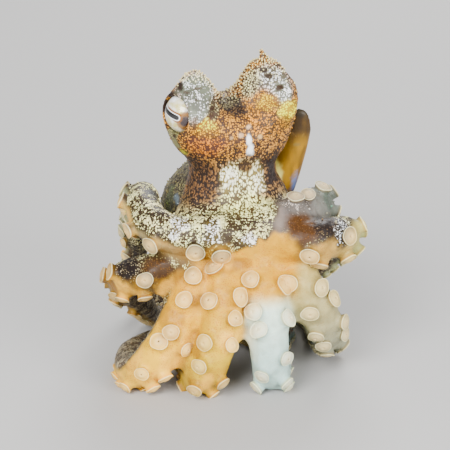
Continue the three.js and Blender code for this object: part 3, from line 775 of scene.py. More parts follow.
# Marks on the skin: where (mm), how far they reach, their strength and the finish they lay on.
MARKS = [
    # face: brown net with tan cells, warmer towards the eyes, dark at the edge of the cheek
    ((1, -6, 56), (12, 9, 6.5), 0.9, coat("#8a5434", "#f0cc9a", fine=1, coarse=0.1)),
    ((-4, -6, 54.6), (5.5, 6, 4), 0.85, coat("#94543a", "#f0b884", fine=0.98)),
    ((8, -4, 58.5), (5, 5, 4), 0.6, coat("#985e2c", "#fad08c", fine=1)),
    # pale turret over the right eye, smooth below its beads, with its brown marks
    ((-6.2, -4.5, 65), (5.6, 6, 6), 1, coat("#acae9c", "#f0f2e8", fine=0.8, coarse=0.6)),
    ((-5.4, -6.8, 61.4), (3.6, 4, 4), 1, coat("#b8baac", "#f4f6ee", fine=0.85, coarse=0.8)),
    ((-2.6, -5.4, 61.5), (1.8, 2.5, 3), 0.9, coat("#86684c", "#e0dcc4", fine=1)),
    ((-8.1, -5.7, 65.3), (1.1, 1.6, 0.35), 0.8, coat("#8a6c54", "#a89078", fine=0.4)),
    ((-5.7, -5.3, 66.1), (1.1, 1.6, 0.35), 0.8, coat("#8a6c54", "#a89078", fine=0.4)),
    ((-6.1, -6.5, 64), (0.6, 1.4, 0.3), 0.7, coat("#8a6c4c", "#a08a68")),
    ((-1.9, -4.1, 63.6), (1.1, 1.4, 1), 0.9, coat("#5e3c26", "#a08464", fine=0.8)),
    ((-2.6, -5.4, 61.9), (1, 1.3, 0.8), 0.9, coat("#6a4028", "#a08464", fine=0.8)),
    ((-3.0, -6.1, 60.3), (0.9, 1.3, 0.8), 0.9, coat("#7a4a2c", "#b08c60", fine=0.8)),
    ((-6.4, -7.6, 59.6), (1, 1.6, 1.6), 0.7, coat("#a87854", "#d0b090", fine=0.8)),
    # dark fold round the outer rim of the right eye
    ((-9.6, -3.4, 66.2), (0.9, 2.5, 1.3), 0.95, coat("#4e2c1e", "#7a5038", fine=0.3)),
    ((-11.6, -3.2, 64.4), (1, 2.2, 1.5), 0.95, coat("#4a2a1e", "#7a5038", fine=0.3)),
    ((-13, -1, 61.6), (1, 2.2, 2), 0.95, coat("#5a3624", "#7a5038", fine=0.3)),
    # amber glow below the right eye
    ((-3.6, -7.4, 57.6), (4.4, 3.4, 2.4), 1, coat("#b87018", "#fcd470", fine=0.95)),
    ((-3.6, -7.6, 58.4), (2.9, 2.6, 1.7), 1, coat("#f0b018", "#fff4a8", fine=0.95)),
    # smudge between the eyes
    ((2.6, -3.9, 61.3), (3.4, 3.4, 2), 0.85, coat("#3a2a24", "#94704c", fine=0.85)),
    ((0.8, -2.2, 62.6), (3.6, 3.4, 1.8), 0.85, coat("#4f4230", "#a69c7c", fine=1)),
    # left turret: orange in front, yellow at its corner, white round it
    ((10.6, -1.4, 66.6), (6, 6, 5), 1, coat("#a49880", "#eef4ec", fine=0.9, coarse=0.5)),
    ((12.6, -1.2, 64.6), (3.2, 3.6, 3.4), 1, coat("#b4b4a4", "#f2f6f0", fine=1.05)),
    ((7.4, -2.6, 62.6), (4.6, 5, 4.2), 1, coat("#a05c14", "#ffc848", fine=1, coarse=0)),
    ((9.2, -2.4, 62.4), (3, 4, 2.4), 0.9, coat("#e09a18", "#ffe468", fine=1, coarse=0)),
    ((13.4, -0.8, 60.4), (3.4, 4, 2.8), 1, coat("#f8d030", "#fff8b0", fine=1, coarse=0)),
    ((13, -1, 57.6), (2.6, 4, 2), 0.8, coat("#a86c20", "#f0c468", fine=1)),
    ((11.6, -1.4, 65.3), (1.4, 1.7, 0.8), 1, coat("#6e4a2c", "#a0805c", fine=0.6)),
    ((8.4, -0.2, 69.0), (1.2, 1.6, 0.7), 1, coat("#5c4030", "#8a6c50", fine=0.6)),
    ((9.2, -0.7, 67.8), (1.3, 1.5, 0.6), 1, coat("#6a4c34", "#9a8060", fine=0.6)),
    ((5.4, -1, 66.4), (3, 3, 4.4), 0.95, coat("#7c6246", "#e4e0d0", fine=1)),
    ((11.0, -3.4, 57.0), (3.6, 4, 3), 0.7, coat("#8a5c30", "#f0c484", fine=1)),
    # forehead spots
    ((5.2, -6.4, 55), (0.62, 2, 1.9), 1, coat("#f4f4ee", "#ffffff", fine=0)),
    ((5.5, -5.8, 52.8), (0.95, 2, 1.8), 1, coat("#f4f2ea", "#ffffff", fine=0)),
    ((5.1, -6.1, 57.9), (0.7, 1.4, 0.7), 1, coat("#e6d6c4", "#f4ece0", fine=0)),
    ((3.4, -6.7, 56.3), (0.6, 1.4, 0.6), 1, coat("#e2d0bc", "#f4ece0", fine=0)),
    ((1.3, -7.2, 55.8), (0.6, 1.4, 0.6), 0.9, coat("#dcc4a8", "#f0e4d4", fine=0)),
    ((7.5, -5.4, 55.5), (0.7, 1.4, 0.7), 0.9, coat("#e6d2b4", "#f4e8d4", fine=0)),
    ((2.3, -6.8, 53.1), (0.7, 1.5, 1.5), 0.75, coat("#3c2a22", "#8c6848", fine=0.8)),
    ((6.9, -5.7, 54.2), (0.6, 1.5, 1.3), 0.75, coat("#3c2a22", "#8c6848", fine=0.8)),
    # neck: dark with amber cells on its right, white down its middle, dark again on its left
    ((-6.4, -2, 46.5), (7, 7, 8.5), 1, coat("#564036", "#cc9c70", fine=0.95, coarse=0)),
    ((3.8, -5.6, 45), (6.2, 5, 6.6), 1, coat("#b0945c", "#f4ecd8", fine=1.14, coarse=0.3)),
    ((0.9, -5.4, 46.4), (2.4, 3, 4.4), 0.9, coat("#ccb880", "#f6f0dc", fine=1.16, coarse=0.4)),
    ((7.4, -4.4, 46), (2.2, 3, 4.6), 0.9, coat("#c6b27c", "#f6f0dc", fine=1.14, coarse=0.4)),
    ((4.3, -4.9, 49), (2.1, 2, 2.2), 1, coat("#6a452a", "#c8a06c", fine=0.9, coarse=0)),
    ((10.2, -0.6, 48), (2, 4, 6), 1, coat("#4c3a36", "#7c6454", fine=0.8, coarse=0)),
    ((5, -7, 40.8), (9, 4, 3.6), 0.9, coat("#8e6a36", "#f2e8d4", fine=1.04, coarse=0.6)),
    # mantle: greenish stripe down its right front edge, pale spots and darker saddle on its back
    ((-12.6, 13, 37), (1.6, 3.5, 6), 0.9, coat("#8c8a68", "#c8cca0", fine=0.8, coarse=0)),
    ((-10.9, 9, 37.2), (1.5, 2.4, 1.6), 1, coat("#a8b4bc", "#c8d0d4", fine=0.3, coarse=0)),
    ((-10.6, 6, 37.6), (1.8, 2.4, 1.8), 0.9, coat("#8c5c28", "#b8843c", fine=0.5, coarse=0)),
    ((0, 24, 46), (7, 9, 6), 0.7, coat("#4c3022", "#b08c64", fine=0.9, coarse=0.2)),
    ((-7, 30, 40), (3, 3.4, 3), 0.9, MANTLE_SPOT),
    ((7, 29, 40), (3.2, 3.4, 3), 0.9, MANTLE_SPOT),
    ((0, 38, 34), (3.4, 3.4, 3.4), 0.9, MANTLE_SPOT),
    ((-10, 22, 32), (3, 4, 3), 0.8, MANTLE_SPOT),
    ((10, 21, 32), (3, 4, 3), 0.8, MANTLE_SPOT),
    # pale lens between neck and siphon
    ((11.4, 9, 43), (1.7, 4, 5.5), 1, coat("#e4dcb8", "#f0ead4", fine=0.3, coarse=0)),
    # cream strip under the right eye
    ((-11.2, -4.4, 56), (1.7, 3, 2.8), 1, coat("#b8b08c", "#e8e2c8", fine=0.7, coarse=0)),
    ((-10.6, -4.2, 53.4), (1.3, 2.4, 2), 1, coat("#c4bc96", "#ece6cc", fine=0.4, coarse=0)),
    ((-9.2, -4.3, 51.7), (1.2, 2, 1.4), 1, coat("#ddd28c", "#f0e8b4", fine=0.3, coarse=0)),
    ((-10.9, -5.6, 55.8), (0.5, 1.5, 0.7), 1, coat("#6e5234", "#7e6444")),
    # collar: white blotches in front, darker towards the right arm
    ((-14, -9, 39), (5, 6, 5), 0.9, coat("#52391c", "#ece6d8", fine=0.9, coarse=0.8)),
    ((-9.6, -14, 38.8), (2.6, 3, 2.2), 0.9, COLLAR_BLOTCH),
    ((-10.8, -15, 36.4), (2, 3, 1.6), 0.9, COLLAR_BLOTCH),
    ((-2.6, -14, 38), (2.6, 3, 1.8), 0.9, COLLAR_BLOTCH),
    ((-2.5, -14.6, 35.7), (3.2, 3, 1.6), 0.9, COLLAR_BLOTCH),
    ((5.1, -12.2, 34.6), (2.4, 3, 1.8), 0.9, COLLAR_BLOTCH),
    ((9, -9, 40), (3.4, 5, 2.4), 0.8, coat("#98804c", "#f0e8d8", fine=1.02, coarse=0.8)),
    # left arm 2: orange-brown patch running into dark purple with white spots
    ((17, -11.6, 37.6), (5.6, 6, 5.4), 1, coat("#8e4c1a", "#c88448", fine=0.7, coarse=0)),
    ((21.6, -9, 36.8), (4, 6, 5), 1, coat("#3a261c", "#c0a07c", fine=0.62, coarse=0)),
    ((25.4, -8, 34.8), (2.8, 6, 4.4), 1, coat("#4a3a24", "#f6fcf2", fine=0.95, coarse=0.5)),
    # right arm 2: black-purple back with fine white dots, orange below
    ((-14.6, -12.5, 28.2), (5.4, 5, 3.4), 1, coat("#7a4418", "#c88844", fine=0.7, coarse=0)),
    ((-21, -9, 27), (4.8, 6, 4), 1, coat("#34201a", "#e6e0d4", fine=0.62, coarse=0)),
    # blue-black edge of right arm 1
    ((-14.2, -2.6, 42.2), (4.4, 4, 1.6), 0.85, coat("#2c2a34", "#c4ccd0", fine=0.75, coarse=0)),
    # left arm 1: plain grey-violet near its base
    ((15.2, -5.6, 41), (5.6, 5.5, 3.4), 0.9, coat("#a8a098", "#e4e0dc", fine=0.75, coarse=0.5)),
    ((23, 3, 38.7), (3, 4, 3), 0.8, coat("#8c9a8a", "#c4dccf", fine=0.6, coarse=0)),
    # right arm 3: translucent brown edge with greenish flecks, turquoise towards its foot
    ((-16.5, -14, 22), (3, 5, 6), 0.9, coat("#8a6a4c", "#c8c4a4", fine=0.8, coarse=0)),
    ((-18, -10, 12), (5, 7, 9), 0.8, coat("#94887a", "#b4d4cc", fine=0.8, coarse=0)),
    # painted turquoise shade at the feet of the front arms
    ((0.4, -12.4, 9), (3, 3.4, 5), 0.8, coat("#5c9ca4", "#5c9ca4", fine=0, coarse=0)),
    ((15.6, -6.4, 14), (3, 3.4, 4), 0.7, coat("#6aa0a8", "#6aa0a8", fine=0, coarse=0)),
    # painted blue-grey shade between the first two right arms
    ((-17.4, -8, 33), (3, 4, 3), 0.8, coat("#7c94a0", "#a4b4b8", fine=0.3, coarse=0)),
    # siphon: brown rim, blue foot and one small pale mark
    ((16.6, 9, 58), (4.6, 5, 2.4), 0.95, coat("#6c5c3c", "#6c5c3c", speck=0.2)),
    ((17, 8, 38.2), (3, 4, 7), 0.9, coat("#b6cbea", "#b6cbea", speck=0)),
    ((15.8, 7.9, 50.4), (0.9, 1.4, 0.5), 0.7, coat("#c8b078", "#c8b078")),
]


BATCH = 40000  # places that along_arm works on at a time


def collar_line(x):
    """Height at which the patterned collar gives way to the amber sucker side, in front."""
    return 30.8 + 0.42 * np.maximum(x + 1, 0)


def blend_line(stops, u):
    """The colour at each share u of a line of stops."""
    shares, names = zip(*stops)
    colours = np.array([tone(name) for name in names])
    return np.stack([np.interp(u, shares, colours[:, k]) for k in range(3)], 1)


def along_arm(limb, places):
    """For each place its distance outside the arm, its share of the length, and how far it
    lies to the sucker side, from -1 to 1."""
    gap, share, facing = (np.empty(len(places)) for _ in range(3))
    wide = limb.radius.mean(1)
    for first in range(0, len(places), BATCH):
        batch = slice(first, first + BATCH)
        part = places[batch]
        square = (part**2).sum(1)[:, None] + (limb.point**2).sum(1) - 2 * part @ limb.point.T
        away = np.sqrt(np.maximum(square, 0)) - wide
        i = away.argmin(1)
        offset = part - limb.point[i]
        gap[batch] = away[np.arange(len(part)), i]
        share[batch] = limb.u[i] + (offset * limb.tangent[i]).sum(1) / limb.length
        length = np.maximum(np.linalg.norm(offset, axis=1), 1e-6)
        facing[batch] = (offset * limb.oral[i]).sum(1) / length
    return gap, np.clip(share, 0, 1), facing


class Paint:
    """The skin's colour at each vertex: ground and cell colours and how strongly cells show."""

    def __init__(self, places):
        n = len(places)
        self.places = places
        self.ground, self.cell = np.zeros((n, 3)), np.zeros((n, 3))
        self.fine, self.coarse, self.speck = np.zeros(n), np.zeros(n), np.zeros(n)
        self.ragged = noise(places, 1.1, 11) + 0.5 * noise(places, 0.55, 12)

    def add(self, share, ground, cell, fine=0.0, coarse=0.0, speck=0.0):
        """Adds the finish of one part of the body, by its share of each place."""
        for key, colour in (("ground", ground), ("cell", cell)):
            colour = tone(colour) if isinstance(colour, str) else colour
            setattr(self, key, getattr(self, key) + colour * share[:, None])
        for key, amount in (("fine", fine), ("coarse", coarse), ("speck", speck)):
            setattr(self, key, getattr(self, key) + amount * share)

    def lay(self, weight, ground=None, cell=None, **amounts):
        """Lays a finish over what is there, by weight."""
        w = weight[:, None]
        for key, colour in (("ground", ground), ("cell", cell)):
            if colour is not None:
                colour = tone(colour) if isinstance(colour, str) else colour
                setattr(self, key, mix(getattr(self, key), colour, w))
        for key, amount in amounts.items():
            setattr(self, key, mix(getattr(self, key), amount, weight))

    def mark(self, at, reach, strength, finish):
        """Lays a finish on one place, with a ragged edge."""
        away = np.sqrt((((self.places - np.array(at)) / np.array(reach)) ** 2).sum(1))
        away = away + self.ragged * min(0.35, 0.5 / min(reach))
        self.lay(strength * smooth(1 - away, 0, 0.5), **finish)


def wrinkles(places):
    """How far the skin swells and sinks (mm): not on the siphon or the lids."""
    eyes = np.min([np.linalg.norm(places - np.array(at), axis=1) for at in EYE_AT.values()], 0)
    smooth_part = np.minimum(smooth(along_arm(SIPHON, places)[0], 0.4, 1.4), smooth(eyes, 5, 6.5))
    folds = 1 - np.abs(noise(places, 1.5, 31)) * 2
    bag = smooth(places[:, 1], 5, 12) * smooth(places[:, 2], 14, 20)
    slow = noise(places, 2.6, 33) * 0.14 + noise(places, 5.5, 34) * 0.5 * bag
    return (noise(places, 0.8, 32) * 0.07 + slow + folds * 0.08) * smooth_part


def pattern_places(places):
    """Places (mm) in which the pattern is laid out: drawn out downwards on the neck."""
    heights = np.linspace(0, 80, 401)
    pace = 1 - 0.42 * smooth(heights, 38, 42) * smooth(heights, 53, 49)
    run = np.concatenate([[0], np.cumsum((pace[1:] + pace[:-1]) / 2) * 0.2])
    out = places.copy()
    out[:, 2] = np.interp(places[:, 2], heights, run)
    for k in range(3):
        out[:, k] += noise(places, 2.4, 21 + k) * 0.35
    return out


def weights_of(gaps, softness=0.7):
    """Shares of each part at each place, from how far outside each part it is."""
    gaps = np.stack(gaps)
    w = np.exp(-(gaps - gaps.min(0)) / softness)
    return w / w.sum(0)


def lay_parts(paint, siphon):
    """The finish of each part of the body, run together where the parts meet."""
    places = paint.places
    head = np.minimum.reduce([blob_field(places, shape) for shape in HEAD_BLOBS])
    for limb in PAPILLAE.values():
        head = np.minimum(head, along_arm(limb, places)[0])
    neck = along_arm(NECK, places)[0]
    mantle = blob_field(places, MANTLE_BLOB)
    crown = np.minimum.reduce([blob_field(places, shape) for shape in CROWN_BLOBS])
    arms = {name: along_arm(limb, places) for name, limb in ARMS.items()}
    shares = weights_of([head, neck, siphon, mantle, crown] + [a[0] for a in arms.values()])
    bands = smooth(noise(places * (1, 1, 0.22), 0.9, 61), -0.5, 0.6)[:, None]
    gold = mix(tone("#d4960a"), tone("#f4bc10"), bands)
    paint.add(shares[0], "#84583a", "#eecb9c", fine=1, coarse=0.1)
    paint.add(shares[1], "#5c4234", "#d8b48a", fine=1, coarse=0.5)
    paint.add(shares[2], gold, gold, speck=0.6)
    paint.add(shares[3], "#74604a", "#cfc6a4", fine=0.95, coarse=0.6)
    paint.add(shares[4], **NETTED)
    dull = smooth(places[:, 2], 27, 18)[:, None]
    ground = mix(tone(NETTED["ground"]), tone("#9a7f60"), dull)
    cell = mix(tone(NETTED["cell"]), tone("#d8cfbc"), dull)
    for (name, (_, u, facing)), share in zip(arms.items(), shares[5:]):
        under = smooth(facing + noise(places, 2.2, 7) * 0.12, *BACK_ENDS[name])
        oral = blend_line(ORAL[name], u)
        paint.add(
            share,
            mix(ground, oral, under[:, None]),
            mix(cell, oral, under[:, None]),
            NETTED["fine"] * (1 - under),
            NETTED["coarse"] * (1 - under),
            under * SPECKED.get(name, 1),
        )


def lay_patterns(paint, siphon):
    """What runs over several parts: the collar's edge, clouds on the amber arms, and veins."""
    places = paint.places
    x, y, z = places.T
    wander = noise(places, 1.6, 5) * 0.9
    front = smooth(-y, 3, 6) * smooth(x, -8, -5) * smooth(x, 17, 14)
    below = smooth(collar_line(x) + wander - z, -0.6, 0.6) * smooth(z, 20, 24)
    paint.lay(front * below, "#efcd88", "#efcd88", fine=0, coarse=0, speck=1)
    above = smooth(z - collar_line(x) - wander, -0.4, 0.8) * smooth(z, 41, 39)
    collar = NETTED | {"fine": 0.9, "coarse": 1}
    paint.lay(front * above * smooth(x, 12, 9), **collar)
    off_siphon = smooth(siphon, 0.6, 1.4)
    amber = paint.speck * smooth(x, 8, 5) * off_siphon
    for seed, size, colour in ((51, 3.6, "#e6aa48"), (52, 4.2, "#f2dcb4")):
        cloud = smooth(noise(places, size, seed), 0.1, 0.5)
        paint.lay(amber * cloud * 0.6, colour, colour)
    paint.lay(amber * 0.5, None, "#f8e6c0", fine=0.7)
    head_back = smooth(y, 1, 5) * smooth(z, 50, 54)
    paint.lay(head_back * 0.8, "#60442e", "#d4b488", coarse=0.55)
    veins = np.maximum(*(smooth(0.11 - np.abs(noise(places, 4.6, s)), 0, 0.08) for s in (53, 54)))
    behind = smooth(y, 3, 9) * off_siphon * (1 - paint.speck)
    paint.lay(veins * behind * 0.7, "#3a281c", "#7c6048")


def painted(places):
    """The skin's paint at places on it."""
    paint = Paint(places)
    siphon = along_arm(SIPHON, places)[0]
    lay_parts(paint, siphon)
    lay_patterns(paint, siphon)
    for mark in MARKS:
        paint.mark(*mark)
    uneven = (1 + noise(places, 2.8, 55) * 0.1 + noise(places, 1.0, 56) * 0.07)[:, None]
    paint.ground = np.clip(paint.ground * uneven, DARKEST, PALEST)
    paint.cell = np.clip(paint.cell * uneven, DARKEST, PALEST)
    return paint


# ---- materials ----
class Nodes:
    """A material's node tree with short ways to add to it."""

    def __init__(self, name):
        self.material = bpy.data.materials.new(name)
        self.material.use_nodes = True
        self.tree = self.material.node_tree
        self.shader = self.tree.nodes["Principled BSDF"]

    def add(self, kind, inputs=None, **settings):
        node = self.tree.nodes.new(kind)
        for key, value in settings.items():
            setattr(node, key, value)
        for key, value in (inputs or {}).items():
            self.put(node.inputs[key], value)
        return node

    def put(self, socket, value):
        """Links an output to a socket, or sets the socket to a value."""
        if isinstance(value, bpy.types.NodeSocket):
            self.tree.links.new(value, socket)
        else:
            socket.default_value = value

    def shaded(self, inputs):
        """Sets the shader's sockets and gives the finished material."""
        for key, value in inputs.items():
            self.put(self.shader.inputs[key], value)
        return self.material

    def math(self, operation, *values, clamp=False):
        node = self.add("ShaderNodeMath", operation=operation, use_clamp=clamp)
        for socket, value in zip(node.inputs, values):
            self.put(socket, value)
        return node.outputs[0]

    def ramp(self, value, low, high):
        """0 below low and 1 above high, smoothly."""
        node = self.add("ShaderNodeMapRange", interpolation_type="SMOOTHSTEP")
        for key, v in (("Value", value), ("From Min", low), ("From Max", high)):
            self.put(node.inputs[key], v)
        return node.outputs[0]

    def blend(self, share, a, b, kind="MIX"):
        node = self.add("ShaderNodeMix", data_type="RGBA", blend_type=kind, clamp_factor=True)
        for key, value in ((0, share), (6, a), (7, b)):
            self.put(node.inputs[key], value)
        return node.outputs[2]

    def value(self, name):
        return self.add("ShaderNodeAttribute", attribute_name=name).outputs["Fac"]

    def colour(self, name):
        return self.add("ShaderNodeAttribute", attribute_name=name).outputs["Color"]

    def length(self, x, y):
        """How long the arrow (x, y) is."""
        squares = [self.math("POWER", side, 2.0) for side in (x, y)]
        return self.math("SQRT", self.math("ADD", *squares))

    def places(self):
        """Places on the object in mm."""
        where = self.add("ShaderNodeTexCoord").outputs["Object"]
        return self.add("ShaderNodeMapping", {"Vector": where, "Scale": [1 / MM] * 3}).outputs[0]

    def noise(self, where, size, detail=2.0, roughness=0.5):
        return self.add(
            "ShaderNodeTexNoise",
            {"Vector": where, "Scale": 1 / size, "Detail": detail, "Roughness": roughness},
        ).outputs["Fac"]

    def cells(self, where, size, output, randomness):
        inputs = {"Vector": where, "Scale": 1 / size, "Randomness": randomness}
        return self.add("ShaderNodeTexVoronoi", inputs, feature="F1").outputs[output]


SPECK_SPACING, GRAIN_SIZE, BUMP_HEIGHT = 0.36, 0.35, 0.14  # mm


def skin_material(look):
    """Wet mottled skin, led by the paint at each vertex."""
    n = Nodes("mottled_skin")
    where = n.add("ShaderNodeAttribute", attribute_name="pattern").outputs["Vector"]
    fine, coarse, cell = n.value("fine"), n.value("coarse"), n.colour("cell")
    # round pale cells on a darker net, swelling and shrinking over the skin
    dots = n.cells(where, look.cell_size, "Distance", 0.8)
    seed = n.add("ShaderNodeSeparateColor", {0: n.cells(where, look.cell_size, "Color", 0.8)})
    swell = n.math("MULTIPLY_ADD", n.noise(where, 2.2, 3.0, 0.6), 2.0, -1.0)
    swell = n.math("MULTIPLY", swell, n.math("MULTIPLY_ADD", coarse, 0.75, 0.15))
    wide = n.math("MULTIPLY_ADD", seed.outputs[0], 0.14, n.math("ADD", swell, 0.5))
    wide = n.math("MULTIPLY_ADD", n.math("SUBTRACT", fine, 1.0), 0.55, wide)
    round_cells = n.ramp(dots, wide, n.math("SUBTRACT", wide, 0.2))
    lit = n.math("MULTIPLY_ADD", seed.outputs[1], 0.5, 0.55)
    share = n.math("MULTIPLY", n.math("MULTIPLY", round_cells, lit), fine, clamp=True)
    cloud = n.noise(where, look.blotch_size * 1.9, 2.0)
    dark = n.math("MULTIPLY", n.ramp(cloud, 0.52, 0.4), n.math("MULTIPLY", coarse, 0.55))
    ground = n.blend(dark, n.colour("ground"), (*tone("#3e2a1c"), 1))
    colour = n.blend(share, ground, cell)
    # blotches in which the cells run together
    blotch = n.math("MULTIPLY_ADD", round_cells, 0.1, n.noise(where, look.blotch_size, 3.0, 0.6))
    blotch = n.math("MULTIPLY", n.ramp(blotch, 0.64, 0.7), coarse)
    colour = n.blend(blotch, colour, cell)
    # small warm specks on the sucker side
    specks = n.cells(where, SPECK_SPACING, "Distance", 1.0)
    specks = n.math("MULTIPLY", n.ramp(specks, 0.44, 0.2), n.ramp(n.noise(where, 3.0, 2.0), 0.3, 0.6))
    specks = n.math("MULTIPLY", specks, n.value("speck"))
    colour = n.blend(specks, colour, (0.8, 0.56, 0.3, 1), "MULTIPLY")
    mottle = n.ramp(n.noise(where, 1.6, 3.0), 0.3, 0.75)
    colour = n.blend(n.math("MULTIPLY", mottle, 0.14), colour, (0.55, 0.45, 0.38, 1), "MULTIPLY")
    grain = n.noise(where, GRAIN_SIZE, 2.0)
    height = n.math("MULTIPLY", round_cells, fine)
    height = n.math("ADD", height, n.math("MULTIPLY", grain, 0.4))
    bump = n.add("ShaderNodeBump", {"Height": height, "Distance": BUMP_HEIGHT * MM, "Strength": 0.8})
    return n.shaded(
        {
            "Base Color": colour,
            "Normal": bump.outputs[0],
            "Roughness": n.math("MULTIPLY_ADD", grain, 0.2, 0.4),
            "Subsurface Weight": 0.1,
            "Subsurface Radius": (1.0, 0.55, 0.35),
            "Subsurface Scale": 1.0 * MM,
            "Specular IOR Level": 0.22,
            "Coat Weight": 0.04,
            "Coat Roughness": 0.2,
        }
    )


def eye_material():
    """A glossy cream iris with a dark slit, a pale ring round it, and orange and purple in front."""
    n = Nodes("gloss_eye")
    plane = n.add("ShaderNodeAttribute", attribute_name="eye_plane").outputs["Vector"]
    part = n.add("ShaderNodeSeparateXYZ", {0: plane})
    along = n.math("SUBTRACT", part.outputs[0], PUPIL_AT[0])
    up = n.math("SUBTRACT", part.outputs[1], PUPIL_AT[1])
    past = n.math("MAXIMUM", n.math("SUBTRACT", n.math("ABSOLUTE", along), PUPIL_HALF), 0.0)
    gap = n.math("SUBTRACT", n.length(past, up), PUPIL_THICK)

    def over(share, base, name):
        return n.blend(share, base, (*tone(name), 1))

    cloud = n.ramp(n.noise(n.places(), 1.8, 3.0), 0.35, 0.7)
    base = over(cloud, (*tone("#e4dcbc"), 1), "#faf4e2")
    back = n.ramp(n.math("MULTIPLY_ADD", up, -0.6, n.math("MULTIPLY", along, -1.0)), 2.4, 3.4)
    base = over(n.math("MULTIPLY", back, 0.7), base, "#9fc0cc")
    ahead = n.math("SUBTRACT", along, WEDGE_AT[0])
    above = n.math("MULTIPLY", n.math("SUBTRACT", up, WEDGE_AT[1]), WEDGE_FLATNESS)
    wedge = n.length(ahead, above)
    base = over(n.math("MULTIPLY", n.ramp(wedge, 1.7, 1.1), 0.9), base, "#d8862c")
    base = over(n.ramp(wedge, 0.95, 0.5), base, "#5a3c3c")
    upper = n.ramp(n.math("ADD", up, n.math("MULTIPLY", along, 0.6)), -0.6, 0.4)
    base = over(n.math("MULTIPLY", n.ramp(gap, 0.75, 0.45), upper), base, "#d98a2c")
    base = over(n.ramp(gap, 0.27, 0.14), base, "#f6f2e4")
    base = over(n.ramp(gap, 0.08, -0.04), base, "#0b1014")
    return n.shaded({"Base Color": base, "Roughness": 0.25, "Coat Weight": 1.0, "Coat Roughness": 0.04})


def gaze(side):
    """The eye's axes as the lids and the iris have them: turned a little forwards."""
    outward, ahead, up = eye_axes(side)
    turned = outward * math.cos(GAZE) + ahead * math.sin(GAZE)
    return turned, ahead * math.cos(GAZE) - outward * math.sin(GAZE), up


# ---- settings ----
class OctopusSkinSettings(bpy.types.PropertyGroup):
    step: bpy.props.FloatProperty(
        name="Skin step", description="Spacing of the skin's mesh, mm", default=0.32, min=0.15
    )
    fillet: bpy.props.FloatProperty(
        name="Fillet", description="How softly head, neck and crown run together, mm", default=3.2
    )


class OctopusSuckerSettings(bpy.types.PropertyGroup):
    first_share: bpy.props.FloatProperty(
        name="First sucker", description="Share of the arm where the suckers begin", default=0.1
    )
    last_share: bpy.props.FloatProperty(
        name="Last sucker", description="Share of the arm where the suckers end", default=0.97
    )
    rim_share: bpy.props.FloatProperty(
        name="Rim", description="Rim radius as a share of the arm's radius", default=0.43
    )
    pitch: bpy.props.FloatProperty(
        name="Pitch", description="Step from one sucker to the next, in rim radii", default=1.32
    )
    splay: bpy.props.FloatProperty(
        name="Splay",
        description="How far the two rows lean apart",
        default=math.radians(36),
        subtype="ANGLE",
    )


class OctopusLookSettings(bpy.types.PropertyGroup):
    cell_size: bpy.props.FloatProperty(
        name="Cells", description="Spacing of the pale cells of the skin's pattern, mm", default=0.47
    )
    blotch_size: bpy.props.FloatProperty(
        name="Blotches", description="Width of the blotches in which cells run together, mm", default=2.1
    )
    bead_size: bpy.props.FloatProperty(
        name="Beads", description="Radius of the beads on the skin, mm", default=0.21
    )


class OctopusEyeSettings(bpy.types.PropertyGroup):
    radius: bpy.props.FloatProperty(name="Eyeball", description="Radius of an eye, mm", default=4.5)
    slit_tilt: bpy.props.FloatProperty(
        name="Slit tilt",
        description="How far the pupil's front end hangs down",
        default=math.radians(17),
        subtype="ANGLE",
    )


# ---- the skin ----
def build_field(skin, sucker):
    """The field of the whole skin, and the suckers whose discs stand on it."""
    grid = Grid((-30, -25, -0.9), (34, 54, 75.5), skin.step)
    add_head(grid, skin.fillet)
    add_lids(grid)
    add_siphon(grid)
    for limb in ARMS.values():
        grid.add_limb(limb, mix(1.8, 0.35, smooth(limb.u, 0.1, 0.5)))
    for web in WEBS:
        add_web(grid, *web)
    discs = add_suckers(grid, sucker)
    top = grid.low + (grid.shape - 1) * grid.step
    near_floor, places = grid.places(grid.low, (top[0], top[1], 1.5))
    grid.field[near_floor] = np.maximum(grid.field[near_floor], -places[..., 2])
    return grid, discs


def add_head(grid, fillet):
    """Head, turrets, neck, crown and mantle, then the bulges round the eyes."""
    for shape, soft in zip(HEAD_BLOBS, (fillet, 1.8, 1.4)):
        grid.add_blob(shape, soft)
    for limb in PAPILLAE.values():
        grid.add_limb(limb, 1.6)
    grid.add_limb(NECK, fillet)
    for shape in CROWN_BLOBS:
        grid.add_blob(shape, fillet)
    add_mantle(grid)
    for at in EYE_AT.values():
        grid.add_blob((at, (EYE_BULGE, EYE_BULGE, EYE_BULGE), (0, 0, 0), 0), 1.6)


def add_lids(grid):
    """A raised lid round each eye, and the opening in which the eye sits."""
    for side, at in EYE_AT.items():
        at, outward = np.array(at), gaze(side)[0]

        def lid(places):
            height, out = round_axis(places, at, outward)
            return np.sqrt((out - LID_RADIUS) ** 2 + (height - LID_HEIGHT) ** 2) - LID_THICK

        def opening(places):
            height, out = round_axis(places, at, outward)
            return np.maximum(out - OPENING_RADIUS, OPENING_FROM - height)

        grid.add(at - LID_REACH, at + LID_REACH, lid, 0.5)
        grid.cut(at - LID_REACH, at + LID_REACH, opening, 0.35)


